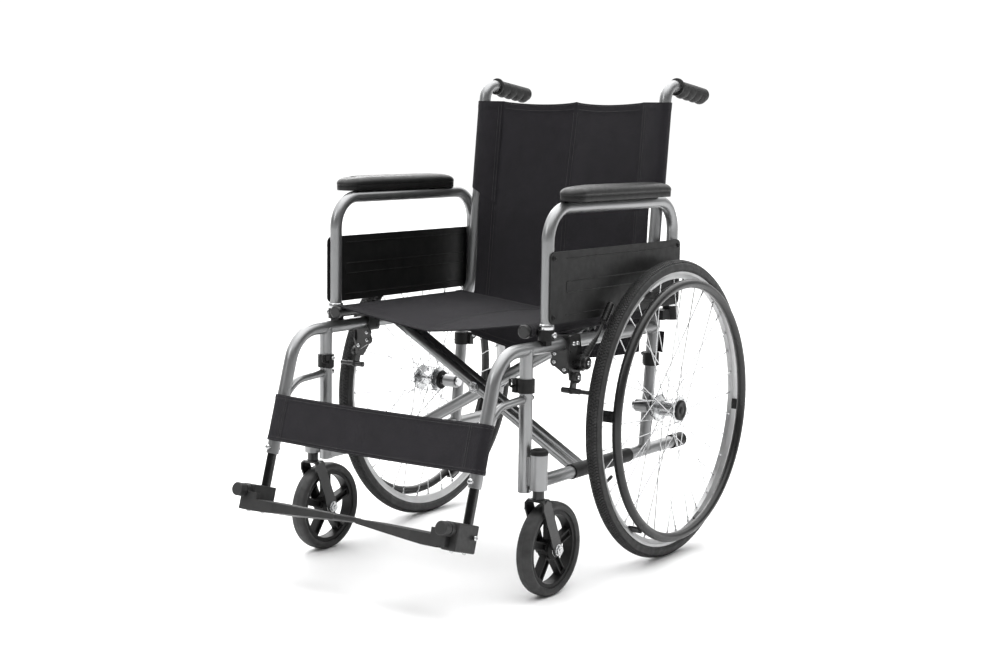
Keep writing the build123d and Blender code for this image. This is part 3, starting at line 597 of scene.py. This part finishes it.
def make_back(name, side):
    body = f"{name}_back_half"
    shape = back_shape(side)
    us = stations([-0.6, 1.5, 4.0, BACK_SEAM_X - 12, BACK_SEAM_X + 4, PANEL_EDGE_X], 5.5)
    shares = stations([0, 0.004, 0.03, 0.034, 0.966, 0.97, 0.996, 1], 0.0125)

    def levels(u):
        low, high = back_low(abs(u)), back_high(abs(u))
        return [low + (high - low) * share for share in shares]

    def relief(u, v):
        low, high = back_low(abs(u)), back_high(abs(u))
        hem = 0.7 if v < low + 17 or v > high - 17 else 0.0
        return hem + 0.7 * exp(-(u / 1.5) ** 2)

    panel = cloth_mesh(shape, us, levels, CLOTH, side, relief)
    panel = add_piece(f"{name}_back_panel", panel, body, "charcoal_fabric", crease=60)
    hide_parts(body)
    wrap = sleeve_shape(side)
    reach = sqrt((CANE_X - BACK_SEAM_X) ** 2 + SLEEVE_R ** 2)
    loop = 2 * reach + pi * SLEEVE_R

    def sleeve_levels(u):
        """The lower edge is cut in a curve that rises towards the outside."""
        outward = sin(pi * u / loop)
        low = SLEEVE_LOW + 34 * outward ** 1.5
        shares_up = stations([0, 0.008, 0.05, 0.056, 0.93, 0.935, 0.99, 1], 0.025)
        return [low + (BACK_TOP - low) * share for share in shares_up]

    round_us = stations([0, 2, 6, reach - 8, reach + pi * SLEEVE_R + 8, loop - 6, loop], 2.6)
    sleeve = cloth_mesh(wrap, round_us, sleeve_levels, 0.9, side,
                        lambda u, v: 0.5 if u < 5 or v > BACK_TOP - 14 else 0.0)
    sleeve = add_piece(f"{name}_back_sleeve", sleeve, body, "charcoal_fabric", crease=60)
    seams = bmesh.new()
    upper = [(x, back_high(x) - 3.5) for x in stations([4, BACK_SEAM_X - 3], 3.0)]
    lower = [(x, back_high(x) - 14) for x in stations([4, BACK_SEAM_X - 3], 3.0)]
    stitch(seams, shape, upper, side, 0.8)
    stitch(seams, shape, lower, side, 0.8)
    for drop in (4, 14):
        hem = [(x, back_low(x) + drop) for x in stations([4, PANEL_EDGE_X - 3], 3.0)]
        stitch(seams, shape, hem, side, 0.8)
    stitch(seams, shape, [(4.5, 400), (4.5, 905)], side, 0.15)
    for line in (BACK_SEAM_X + 1, BACK_SEAM_X + 7):
        stitch(seams, shape, [(line, 412), (line, SLEEVE_LOW)], side, 0.15)
    stitch(seams, wrap, [(3.0, SLEEVE_LOW + 3), (3.0, BACK_TOP - 3)], side, 0.6)
    stitch(seams, wrap, [(9.0, SLEEVE_LOW + 5), (9.0, BACK_TOP - 3)], side, 0.1)
    thread = add_piece(f"{name}_back_stitching", seams, body, "charcoal_fabric", "thread")


# ---- calf strap -------------------------------------------------------------------------
STRAP_LOW, STRAP_HIGH = 103.5, 193.5
STRAP_WRAP_R = 14.4
STRAP_WRAP = radians(235) * STRAP_WRAP_R


def calf_shape(side):
    def shape(u, v):
        """u runs from the middle round the hanger, v up the hanger."""
        if u <= FRAME_X:
            share = max(u, 0.0) / FRAME_X
            slack = 1 - share * share
            x, front = u, STRAP_WRAP_R - 5.0 * slack + 0.5 * ripple(side * u, 0, v, 60.0, 2.0)
            v = v - 2.5 * slack
        else:
            angle = (u - FRAME_X) / STRAP_WRAP_R
            x, front = FRAME_X + STRAP_WRAP_R * sin(angle), STRAP_WRAP_R * cos(angle)
        point = on_hanger(v) + HANGER_FRONT * front
        return Vector((side * x, point.y, point.z))
    return shape


def make_calf_strap(name, side):
    body = f"{name}_calf_half"
    shape = calf_shape(side)
    end = FRAME_X + STRAP_WRAP
    us = stations([-0.6, 2.0, FRAME_X - 27, FRAME_X - 25.5, FRAME_X, end], 3.0)
    vs = stations([STRAP_LOW, STRAP_LOW + 0.8, STRAP_LOW + 8, STRAP_LOW + 9,
                   STRAP_HIGH - 9, STRAP_HIGH - 8, STRAP_HIGH - 0.8, STRAP_HIGH], 5.0)

    def relief(u, v):
        hem = 0.6 if v < STRAP_LOW + 8.5 or v > STRAP_HIGH - 8.5 else 0.0
        return hem + (0.4 if u > FRAME_X - 26 else 0.0)

    strap = add_piece(f"{name}_calf_strap", cloth_mesh(shape, us, vs, 1.3, side, relief), body,
                      "charcoal_fabric", crease=60)
    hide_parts(body)
    seams = bmesh.new()
    for line in (STRAP_LOW + 2.2, STRAP_LOW + 7.0, STRAP_HIGH - 7.0, STRAP_HIGH - 2.2):
        stitch(seams, shape, [(0.5, line), (FRAME_X, line), (end - 2, line)], side, 0.75)
    for line in (FRAME_X - 24.5, FRAME_X - 20.0):
        stitch(seams, shape, [(line, STRAP_LOW + 3), (line, STRAP_HIGH - 3)], side, 0.55)
    thread = add_piece(f"{name}_calf_stitching", seams, body, "charcoal_fabric", "thread")


# ---- armrest pad ------------------------------------------------------------------------
PAD_LOW, PAD_HIGH = 736.7, 766.4
PAD_X = (245.2, 300.8)
PAD_Y = (-344.8, 13.8)


def pad_ring(inset, count=176):
    """Points round the pad's outline, drawn in by inset: straight sides with round ends."""
    r = 24.0
    half_x, half_y = (PAD_X[1] - PAD_X[0]) / 2, (PAD_Y[1] - PAD_Y[0]) / 2
    points = []
    for k in range(count):
        quarter, part = divmod(k, count // 4)
        share = part / (count // 4)
        corner_x = (half_x - r) * (1 if quarter in (0, 3) else -1)
        corner_y = (half_y - r) * (1 if quarter in (0, 1) else -1)
        sweep = pi / 2 * quarter + pi / 2 * min(share * 1.6, 1.0)
        x, y = corner_x + (r - inset) * cos(sweep), corner_y + (r - inset) * sin(sweep)
        run = max(share - 0.625, 0.0) / 0.375
        if quarter in (0, 2):
            x -= 2 * corner_x * run
        else:
            y -= 2 * corner_y * run
        points.append((x, y))
    return points


def make_pad(name, side):
    """A stiff base plate with a crowned vinyl pad on it, drawn in along the seam between them."""
    middle_x, middle_y = sum(PAD_X) / 2, sum(PAD_Y) / 2
    base = bmesh.new()
    profile = [(6.0, 0.2), (1.6, 0.0), (0.9, 0.8), (0.6, 9.6), (1.2, 10.6), (8.0, 10.8)]
    rows = [[at(middle_x + x, middle_y + y, PAD_LOW + height) for x, y in pad_ring(inset)]
            for inset, height in profile]
    skin(base, rows, close_columns=True, caps=True)
    base = add_side("armrest_base", base, name, side, "armrest", "black_plastic", crease=40)
    cushion = bmesh.new()
    crown = PAD_HIGH - PAD_LOW
    foot = 10.6
    rows = [(4.0, foot), (1.4, foot + 0.2), (0.5, foot + 1.4), (0.1, foot + 3.4)]
    for k in range(15):
        turn = pi / 2 * k / 14
        rows.append((0.1 + 15.0 * (1 - cos(turn)), foot + 4.4 + (crown - foot - 6.0) * sin(turn)))
    for inset in (17.0, 19.0, 21.0, 23.0, 23.7):
        rows.append((inset, crown - 1.6 + 1.5 * sin(pi / 2 * (inset - 15.1) / 8.6)))
    lattice = []
    for inset, height in rows:
        ring = []
        for x, y in pad_ring(inset):
            wave = 0.35 * ripple(x, y, height, 24.0, side * 3.0)
            wave += 0.2 * ripple(x, y, height, 9.0, side * 5.0)
            ends = 8.0 * (abs(y) / 180.0) ** 8 * max(height - foot, 0.0) / (crown - foot)
            ring.append(at(middle_x + x, middle_y + y, PAD_LOW + height + wave * 0.6 - ends))
        lattice.append(ring)
    skin(cushion, lattice, close_columns=True, caps=True)
    cushion = add_side("armrest_cushion", cushion, name, side, "armrest", "pad", crease=70)
    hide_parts(f"{name}_armrest_pad")
    piping = bmesh.new()
    line = [at(middle_x + x, middle_y + y, PAD_LOW + 10.9) for x, y in pad_ring(0.9)]
    cord_mesh(piping, line, 0.0007, 6, closed=True)
    add_side("armrest_piping", piping, name, side, "armrest", "pad")


# ---- wheels -----------------------------------------------------------------------------
TREAD_BLOCKS = 290
TREAD_DEPTH = 2.2
# tread rows: angles from the crown between which the blocks of a row stand, and the row's offset
TREAD_ROWS = ((2.5, 12.5, 0.0), (15.0, 26.0, 0.5), (29.0, 46.0, 0.15))


def tread_row(degree):
    return next((row for row in TREAD_ROWS if row[0] - 0.1 <= degree <= row[1] + 0.1), None)


def tyre_section(degree, cut):
    """(x offset, radius) at an angle from the crown; the beads draw in to the rim's edges."""
    phi = radians(degree)
    x, radius = (16.2 - cut) * sin(phi), AXLE_Z - 16.0 + (16.0 - cut) * cos(phi)
    if abs(degree) > 95:
        share = (abs(degree) - 95) / 30
        edge = 16.2 * sin(radians(95)) + (9.6 - 16.2) * share ** 1.4
        x, radius = (edge if degree > 0 else -edge), 287.6 - 7.4 * share
    return x, radius


def make_rear_tyre(name, side):
    """Three rows of small staggered blocks on each side of the crown, and side walls with one ridge."""
    edges = [0.0]
    for low, high, _ in TREAD_ROWS:
        edges += [low - 1, low, high, high + 1]
    edges += [52, 58, 60, 62, 72, 84, 95, 103, 110, 117, 121, 125]
    degrees = [-degree for degree in edges[:0:-1]] + edges
    centre = at(WHEEL_X, 0, AXLE_Z)
    bm = bmesh.new()
    rows = []
    for block in range(TREAD_BLOCKS):
        for part, raised in ((0.0, False), (0.1, True), (0.66, True), (0.76, False)):
            points = []
            for degree in degrees:
                row = tread_row(abs(degree))
                if row:
                    cut = 0.0 if raised else TREAD_DEPTH
                elif abs(degree) < 48:
                    cut = TREAD_DEPTH
                else:
                    cut = 0.0 if abs(degree) == 60 else 0.5
                shift = row[2] if row else 0.0
                x, radius = tyre_section(degree, cut)
                angle = 2 * pi * (block + part + shift * (1 if degree > 0 else -1)) / TREAD_BLOCKS
                points.append(centre + Vector((x, radius * cos(angle), radius * sin(angle))) * 0.001)
            rows.append(points)
    skin(bm, rows, close_rows=True)
    tyre = add_side("rear_tread", bm, name, side, "rear_wheel", "tyre", crease=30)
    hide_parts(f"{name}_rear_tyre")


def make_caster_tyre(name, side):
    """Solid caster tyre with a mould line round the middle and a step beside the rim."""
    profile = [(-11, 73.9), (-13.6, 74.6), (-14.2, 77), (-15.6, 78), (-16.3, 81), (-16, 84), (-14, 86.6),
               (-10.5, 88.4), (-5, 89.3), (-0.6, 89.5), (0, 89.7), (0.6, 89.5), (5, 89.3), (10.5, 88.4),
               (14, 86.6), (16, 84), (16.3, 81), (15.6, 78), (14.2, 77), (13.6, 74.6), (11, 73.9)]
    bm = bmesh.new()
    turned(bm, profile, at(*CASTER), OUT, 144)
    inside = []
    for k in range(144):
        a = 2 * pi * k / 144
        inside.append([at(*CASTER) + Vector((along * 0.001, 0.0739 * cos(a), 0.0739 * sin(a)))
                       for along in (-11, 11)])
    skin(bm, inside, close_rows=True)
    bmesh.ops.remove_doubles(bm, verts=bm.verts, dist=2e-6)
    tyre = add_side("caster_tread", bm, name, side, "caster_wheel", "tyre", crease=50)
    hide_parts(f"{name}_caster_tyre")


def make_wheel_details(name, side):
    """Spoke nipples, a valve and the hub's caps, and the nuts and seals of the caster wheel's axle."""
    hub = at(WHEEL_X, 0, AXLE_Z)
    bm = bmesh.new()
    for count in range(36):
        out = 1 if count % 2 else -1
        lead = 1 if (count // 2) % 2 else -1
        rim_angle = 2 * pi * count / 36
        hub_angle = rim_angle + lead * radians(72)
        rim_end = at(WHEEL_X + out * 2, 267.5 * cos(rim_angle), AXLE_Z + 267.5 * sin(rim_angle))
        hub_end = at(WHEEL_X + out * (23.5 + 2.1 * lead), 23.5 * cos(hub_angle),
                     AXLE_Z + 23.5 * sin(hub_angle))
        nipple = [(0, 2.3), (3, 2.2), (3.4, 1.7), (12, 1.6), (12.8, 1.1)]
        turned(bm, nipple, rim_end, hub_end - rim_end, 10)
    add_side("spoke_nipples", bm, name, side, "rear_wheel", "silver_steel")
    valve = bmesh.new()
    angle = radians(205)
    inward = Vector((0, -cos(angle), -sin(angle)))
    foot = at(WHEEL_X, 268 * cos(angle), AXLE_Z + 268 * sin(angle))
    turned(valve, [(0, 5), (1.5, 4.8), (2, 3), (14, 2.9), (14.5, 3.6), (24, 3.4), (25.5, 2.4), (25.5, 0)],
           foot, inward, 24)
    add_side("valve", valve, name, side, "rear_wheel", "black_plastic")
    cap = bmesh.new()
    turned(cap, [(25.9, 20.8), (28.0, 21.0), (29.5, 18.6), (29.5, 14.0), (29.1, 13.4), (29.1, 7.4),
                 (30.6, 6.6), (31.0, 5.0), (31.0, 0)], hub, OUT, 48)
    turned(cap, [(-32.8, 20.6), (-34.8, 20.8), (-36.7, 18.8), (-36.7, 10.0)], hub, OUT, 48)
    add_side("hub_cap", cap, name, side, "rear_wheel", "black_plastic")
    nuts = bmesh.new()
    for out in (-1, 1):
        hex_nut(nuts, at(CASTER[0] + out * 22.0, CASTER[1], CASTER[2]), (out, 0, 0), 8.4, 5.6)
    add_side("caster_nuts", nuts, name, side, "caster_fork", "silver_steel")
    rings = bmesh.new()
    for out in (-1, 1):
        turned(rings, [(16.6, 13.4), (17.6, 13.0), (17.6, 10.2), (16.9, 9.8), (16.9, 6.0)],
               at(*CASTER), (out, 0, 0), 40)
    add_side("caster_seals", rings, name, side, "caster_wheel", "silver_steel")


# ---- frame details ----------------------------------------------------------------------
def weld(bm, centre, main, branch, branch_r, main_r=TUBE_R):
    """A rippled weld bead where a branch tube meets a main tube; centre lies on the main tube's axis."""
    main, branch = Vector(main).normalized(), Vector(branch).normalized()
    one = main.cross(branch).normalized()
    two = branch.cross(one)
    count = max(40, round(2 * pi * branch_r / 1.1))
    points, radii = [], []
    for k in range(count):
        angle = 2 * pi * k / count
        side = Vector(centre) + (one * cos(angle) + two * sin(angle)) * (branch_r + 0.3)
        offset = side - Vector(centre)
        flat = offset - main * offset.dot(main)
        rise = branch - main * branch.dot(main)
        a, b, c = rise.length_squared, 2 * flat.dot(rise), flat.length_squared - main_r ** 2
        reach = (-b + sqrt(max(b * b - 4 * a * c, 0.0))) / (2 * a)
        points.append(at_point(side + branch * reach))
        radii.append(0.0017 * (1 + 0.16 * sin(2 * pi * k / 2.6) + 0.1 * noise.noise(side * 0.31)))
    cord_mesh(bm, points, radii, 10, closed=True)


def make_welds(name, side):
    cane_up = (0, CANE_LEAN, 1)
    bm = bmesh.new()
    weld(bm, (FRAME_X, POST_Y, BOTTOM_Z), (0, 0, 1), (0, 1, 0), TUBE_R)
    weld(bm, (FRAME_X, POST_Y, TOP_Z), (0, 1, 0), (0, 0, -1), TUBE_R)
    weld(bm, (FRAME_X, cane_y(TOP_Z), TOP_Z), cane_up, (0, -1, 0), TUBE_R)
    weld(bm, (FRAME_X, cane_y(BOTTOM_Z), BOTTOM_Z), (0, 1, 0), cane_up, TUBE_R)
    weld(bm, (FRAME_X, POST_Y, 375), (0, 0, 1), (0, -85, -5), 7.5)
    brace_top = on_hanger(187)
    weld(bm, brace_top, HANGER_UP, Vector((0, -512, 370)) - Vector((0, brace_top.y, brace_top.z)), 7.5)
    for out in (-6.6, 6.6):
        for x in (FRAME_X + 11.8, 277 - 16.0):
            line = [at(x, -429 + out, z) for z in stations([215, 267], 1.4)]
            radii = [0.0015 * (1 + 0.2 * sin(k * 2.2)) for k in range(len(line))]
            cord_mesh(bm, line, radii, 8)
    add_side("weld_beads", bm, name, side, "frame", "silver_frame")


def make_screws(name, side):
    """Socket heads over the plain screws of the frame, panel, brake and footrest."""
    front = on_hanger(89) + HANGER_FRONT * (TUBE_R + 4.6)
    add_screws("frame_screws", name, side, "frame", [
        (at(FRAME_X - 26, POST_Y - 8, 407), (-1, 0, 0), 4.0, 2.6),
        (at(FRAME_X - 26, cane_y(399) + 8, 407), (-1, 0, 0), 4.0, 2.6),
        (at(ARM_X + 18.8, ARM_LEGS[0], 491), OUT, 5.6, 3.0),
        (at_point(front), HANGER_FRONT, 5.6, 3.0),
        (at(FRAME_X, POST_Y + TUBE_R + 6.6, 375), (0, 1, 0), 5.2, 2.8)])
    corners = [at(PANEL_FACE_X + 0.2, y, z) for y in ARM_LEGS for z in (523, 633)]
    add_screws("panel_screws", name, side, "armrest", [(place, OUT, 5.0, 2.8) for place in corners],
               "black_plastic")
    add_screws("brake_screws", name, side, "frame", [
        (at(FRAME_X + 21, y, 466), OUT, 4.6, 3.4) for y in (-300, -287)])
    outer = PIN_POINT - HANGER_UP * 8 + Vector((21.6, 0, 0))
    under = [PIN_POINT + HANGER_FRONT * forward - HANGER_UP * 37 for forward in (-4, 36)]
    add_screws("footrest_screws", name, side, "footrest", [
        (at_point(outer), OUT, 4.8, 2.8), *((at_point(place), -HANGER_UP, 4.0, 3.6) for place in under)])


def make_cross_nuts():
    bm = bmesh.new()
    hex_nut(bm, at(0, -207 - 49 - 1.0, 349), (0, -1, 0), 9.0, 5.6)
    hex_nut(bm, at(0, -207 + 49 + 1.0, 349), (0, 1, 0), 9.0, 7.4)
    add_piece("cross_nuts", bm, "cross_arm_a", "silver_steel")


def panel_lines(bm, x):
    """A line above and one below a long slot with round corners, in the plane at x."""
    for z, rear in ((631, 76), (525, 66)):
        cord_mesh(bm, [at(x, y, z) for y in stations([-339, rear], 6)], 0.0011, 8)
    front, rear, low, high, r = -334.0, 62.0, 572.0, 583.0, 5.0
    slot = []
    for corner, (y, z) in enumerate(((rear, high), (front, high), (front, low), (rear, low))):
        for k in range(7):
            turn = radians(90 * corner + 15 * k)
            slot.append(at(x, y + r * cos(turn), z + r * sin(turn)))
    cord_mesh(bm, slot, 0.0011, 8, closed=True)


def make_panel_relief(name, side):
    """Raised lines moulded in both faces of the side panel."""
    bm = bmesh.new()
    for x in (PANEL_FACE_X, PANEL_INNER_X):
        panel_lines(bm, x)
    add_side("panel_relief", bm, name, side, "armrest", "black_plastic")


def make_foot_ribs(name, side):
    """Anti-slip ribs along the top of the footplate."""
    bm = bmesh.new()
    for number in range(9):
        forward = -32 + 9.0 * number
        line = []
        for inward in stations([26, 212], 8):
            point = PIN_POINT + HANGER_FRONT * forward - HANGER_UP * 13.4 - Vector((inward, 0, 0))
            line.append(at_point(point))
        radii = [0.0003] + [0.0014] * (len(line) - 2) + [0.0003]
        cord_mesh(bm, line, radii, 8)
    add_side("foot_ribs", bm, name, side, "footplate", "grey_plastic")


def make_lever_details(name, side):
    """A rubber boot at the foot of the brake lever, its pivot drum and rings round its grip."""
    start, pivot, tip = FRAME_X + 25.8, Vector((0, *LEVER_PIVOT)), Vector((0, *LEVER_TIP))
    reach = (tip - pivot).length
    flat = (tip - pivot).normalized()
    bm = bmesh.new()
    points, radii = [], []
    for k in range(33):
        along = 13 + 1.3 * k
        x = start + (LEVER_X - start) * min(max(along - 12, 0) / 48, 1.0)
        points.append(at_point(Vector((x, *LEVER_PIVOT)) + flat * along))
        radii.append(0.001 * ((7.4 - 3.6 * k / 32) + (0.7 if k % 4 < 2 else 0.0)))
    cord_mesh(bm, points, radii, 28)
    for number in range(8):
        centre = at_point(Vector((LEVER_X, *LEVER_PIVOT)) + flat * (reach - 46 + 5.2 * number))
        turned(bm, [(-1.3, 7.0), (-0.7, 7.75), (0.7, 7.75), (1.3, 7.0)], centre, flat, 36)
    add_side("brake_grip_detail", bm, name, side, "brake_lever", "grip_rubber")
    drum = bmesh.new()
    turned(drum, [(0.2, 14.4), (10.0, 14.4), (11.0, 12.8), (18.0, 12.8), (20.4, 11.0), (20.8, 0)],
           at(FRAME_X + 21.3, *LEVER_PIVOT), OUT, 48)
    add_side("brake_drum", drum, name, side, "brake_lever", "black_paint")
    end = at(FRAME_X + 42.0, *LEVER_PIVOT)
    add_screws("brake_drum_bolt", name, side, "brake_lever", [(end, OUT, 5.4, 3.0)])


def make_brake_details(name, side):
    """The brake's cheek plate in front of its clamp, and the sleeve and joint of the shoe."""
    bm = bmesh.new()
    outline = []
    for x, z, r in ((-12, 446, 9), (-14, 430, 9), (10, 416, 8), (14, 448, 7)):
        for k in range(9):
            turn = atan2(z - 435, x) + radians(-80 + 20 * k)
            outline.append((FRAME_X + x + r * cos(turn), z + r * sin(turn)))
    rows = [[at(x, y, z) for x, z in outline] for y in (-309.0, -313.5)]
    skin(bm, rows, close_columns=True, caps=True)
    add_side("brake_cheek", bm, name, side, "frame", "black_paint")
    bolts = [at(FRAME_X + x, -313.5, z) for x, z in ((-12, 446), (-13, 430), (10, 417))]
    ahead = (0, -1, 0)
    add_screws("brake_cheek_bolts", name, side, "frame", [(place, ahead, 4.2, 2.8) for place in bolts])
    shoe = bmesh.new()
    joint, rod = at(FRAME_X + 26.4, *SHOE_PIVOT), at(FRAME_X + 2.6, *SHOE_ROD)
    turned(shoe, [(0, 11.0), (6.0, 11.0), (7.4, 9.6), (7.4, 0)], joint, OUT, 40)
    turned(shoe, [(0, 4.0), (0, 5.5), (40, 5.5), (40.5, 5.0), (40.5, 4.0)], rod, OUT, 32)
    add_side("brake_shoe_sleeve", shoe, name, side, "brake_shoe", "black_paint")
    end = at(FRAME_X + 33.7, *SHOE_PIVOT)
    add_screws("brake_shoe_bolt", name, side, "brake_shoe", [(end, OUT, 4.6, 2.8)])


def make_push_grip(name, side):
    """Rubber handle with a collar, four finger lobes below and a rounded end."""
    start, end = Vector((CANE_X, *GRIP_START)), Vector((CANE_X, *GRIP_END))
    along = (end - start).normalized()
    down = Vector((0, along.z, -along.y))
    turns = [2 * pi * n / 40 for n in range(40)]

    def rim_point(place, r, turn):
        return at_point(start + along * place + down * (r * cos(turn)) + Vector((r * sin(turn), 0, 0)))

    rows = [[rim_point(0, 12.3, turn) for turn in turns]]
    for k in range(107):
        place = 1.2 * k
        collar = 3.8 / (1 + exp(min((place - 5.5) * 2.2, 40)))
        lobes = abs(sin(pi * (place - 10) / 27.0)) ** 0.75 if 10 < place < 118 else 0.0
        fade = sqrt(max(1 - ((place - 119) / 8.5) ** 2, 0.02)) if place > 119 else 1.0
        ring = []
        for turn in turns:
            below = max(cos(turn), 0.0) ** 1.3
            rib = 0.25 * sin(place * 2.1) * (1 - below)
            r = (14.6 + collar + rib + 6.8 * below * lobes) * fade
            ring.append(rim_point(place, r, turn))
        rows.append(ring)
    bm = bmesh.new()
    verts = skin(bm, rows, close_columns=True)
    bm.faces.new(verts[-1])
    grip = add_side("handle_grip", bm, name, side, "frame", "grip_rubber", crease=50)
    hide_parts(f"{name}_push_grip")


def make_armrest_feet(name, side):
    """Bright collars where the armrest's legs enter their sockets."""
    bm = bmesh.new()
    for y, low in zip(ARM_LEGS, (500.2, 506.2)):
        turned(bm, [(0, 12.1), (0, 14.2), (1.0, 14.8), (9.0, 14.8), (11.0, 13.4), (11.4, 12.1)],
               at(ARM_X, y, low), (0, 0, 1), 40)
    add_side("armrest_feet", bm, name, side, "armrest", "silver_steel")


def make_rear_tab(name, side):
    """Short fabric tab behind the rear post."""
    def shape(u, v):
        bow = 3.0 * ((u - FRAME_X) / 18.0) ** 2
        return Vector((side * u, cane_y(v) + TUBE_R + 6.0 - bow + 0.4 * ripple(side * u, 0, v, 14.0), v))
    us = stations([226, 262], 3)
    vs = stations([412, 413, 418, 449, 454, 455], 4)
    tab = add_piece(f"{name}_rear_tab", cloth_mesh(shape, us, vs, 2.2, -side), f"{name}_frame",
                    "charcoal_fabric", crease=60)


# ---- stage ------------------------------------------------------------------------------
def soft_light(name, place, target, size, power):
    data = bpy.data.lights.new(name, "AREA")
    data.shape = "RECTANGLE"
    data.size, data.size_y = size
    data.energy = power
    light = bpy.data.objects.new(name, data)
    light.location = place
    light.rotation_euler = (Vector(target) - Vector(place)).to_track_quat("-Z", "Y").to_euler()
    bpy.context.scene.collection.objects.link(light)


def make_world():
    """A white studio: bright above and behind the chair, with a pale horizon on its front side."""
    world = bpy.data.worlds.new("studio")
    world.use_nodes = True
    tree = world.node_tree
    place = add_node(tree, "ShaderNodeTexCoord").outputs["Generated"]
    height = add_node(tree, "ShaderNodeSeparateXYZ", ((0, place),)).outputs["Z"]
    toward = add_node(tree, "ShaderNodeVectorMath", ((0, place), (1, (-0.62, 0.78, 0.0))),
                      operation="DOT_PRODUCT").outputs["Value"]
    behind = spread_node(tree, toward, 0.0, 0.7, 0.15, 1.04)
    above = spread_node(tree, height, 0.35, 0.95, 0.0, 0.9)
    horizon = spread_node(tree, height, 0.16, 0.1, 0.0, 0.5)
    total = add_node(tree, "ShaderNodeMath", ((0, behind), (1, above)), operation="ADD").outputs[0]
    lit = add_node(tree, "ShaderNodeMath", ((0, total), (1, horizon)), operation="MAXIMUM").outputs[0]
    background = tree.nodes["Background"]
    tree.links.new(lit, background.inputs["Strength"])
    background.inputs["Color"].default_value = (1.0, 1.0, 1.0, 1.0)
    bpy.context.scene.world = world


def make_stage():
    bm = bmesh.new()
    spans = stations([-12, -3, 3, 12], 1.0)
    skin(bm, [[Vector((x, y, 0)) for x in spans] for y in spans])
    mesh = bpy.data.meshes.new("floor")
    bm.to_mesh(mesh)
    bm.free()
    mesh.materials.append(LOOKS["ground"])
    floor = bpy.data.objects.new("floor", mesh)
    bpy.context.scene.collection.objects.link(floor)
    make_world()
    soft_light("overhead", (-0.2, 0.3, 3.2), (0, 0, 0.4), (3.2, 3.2), 40)
    ceiling = bpy.data.lights.new("ceiling", "SUN")
    ceiling.energy = 3.0
    ceiling.angle = radians(120)
    sky = bpy.data.objects.new("ceiling", ceiling)
    sky.rotation_euler = (radians(-8), radians(-10), 0)
    bpy.context.scene.collection.objects.link(sky)
    soft_light("key", (-1.0, -3.2, 2.6), (0, 0, 0.5), (1.4, 1.4), 22)
    soft_light("rim_light", (-2.4, 2.0, 2.2), (0, 0, 0.5), (1.4, 1.8), 30)
    bpy.context.scene.view_settings.view_transform = "Standard"


def make_camera():
    """Camera in front of the chair on its left side, a little above the armrests."""
    azimuth, elevation, roll = radians(35.12), radians(7.44), radians(0.87)
    ahead = Vector((-sin(azimuth) * cos(elevation), cos(azimuth) * cos(elevation), -sin(elevation)))
    right = ahead.cross(Vector((0, 0, 1))).normalized()
    up = right.cross(ahead)
    right, up = right * cos(roll) + up * sin(roll), up * cos(roll) - right * sin(roll)
    data = bpy.data.cameras.new("camera")
    data.lens = 59.64
    data.clip_end = 60
    camera = bpy.data.objects.new("camera", data)
    place = Vector((1.941, AXLE_BACK - 2.926, 0.890))
    turn = Matrix((right, up, -ahead)).transposed().to_4x4()
    camera.matrix_world = Matrix.Translation(place) @ turn
    bpy.context.scene.collection.objects.link(camera)
    bpy.context.scene.camera = camera


# ---- everything -------------------------------------------------------------------------
dress_cad_nodes()
for name, side in SIDES:
    make_seat(name, side)
    make_back(name, side)
    make_calf_strap(name, side)
    make_pad(name, side)
    make_rear_tyre(name, side)
    make_caster_tyre(name, side)
    make_wheel_details(name, side)
    make_welds(name, side)
    make_screws(name, side)
    make_panel_relief(name, side)
    make_foot_ribs(name, side)
    make_lever_details(name, side)
    make_brake_details(name, side)
    make_push_grip(name, side)
    make_armrest_feet(name, side)
    make_rear_tab(name, side)
make_cross_nuts()
make_stage()
make_camera()
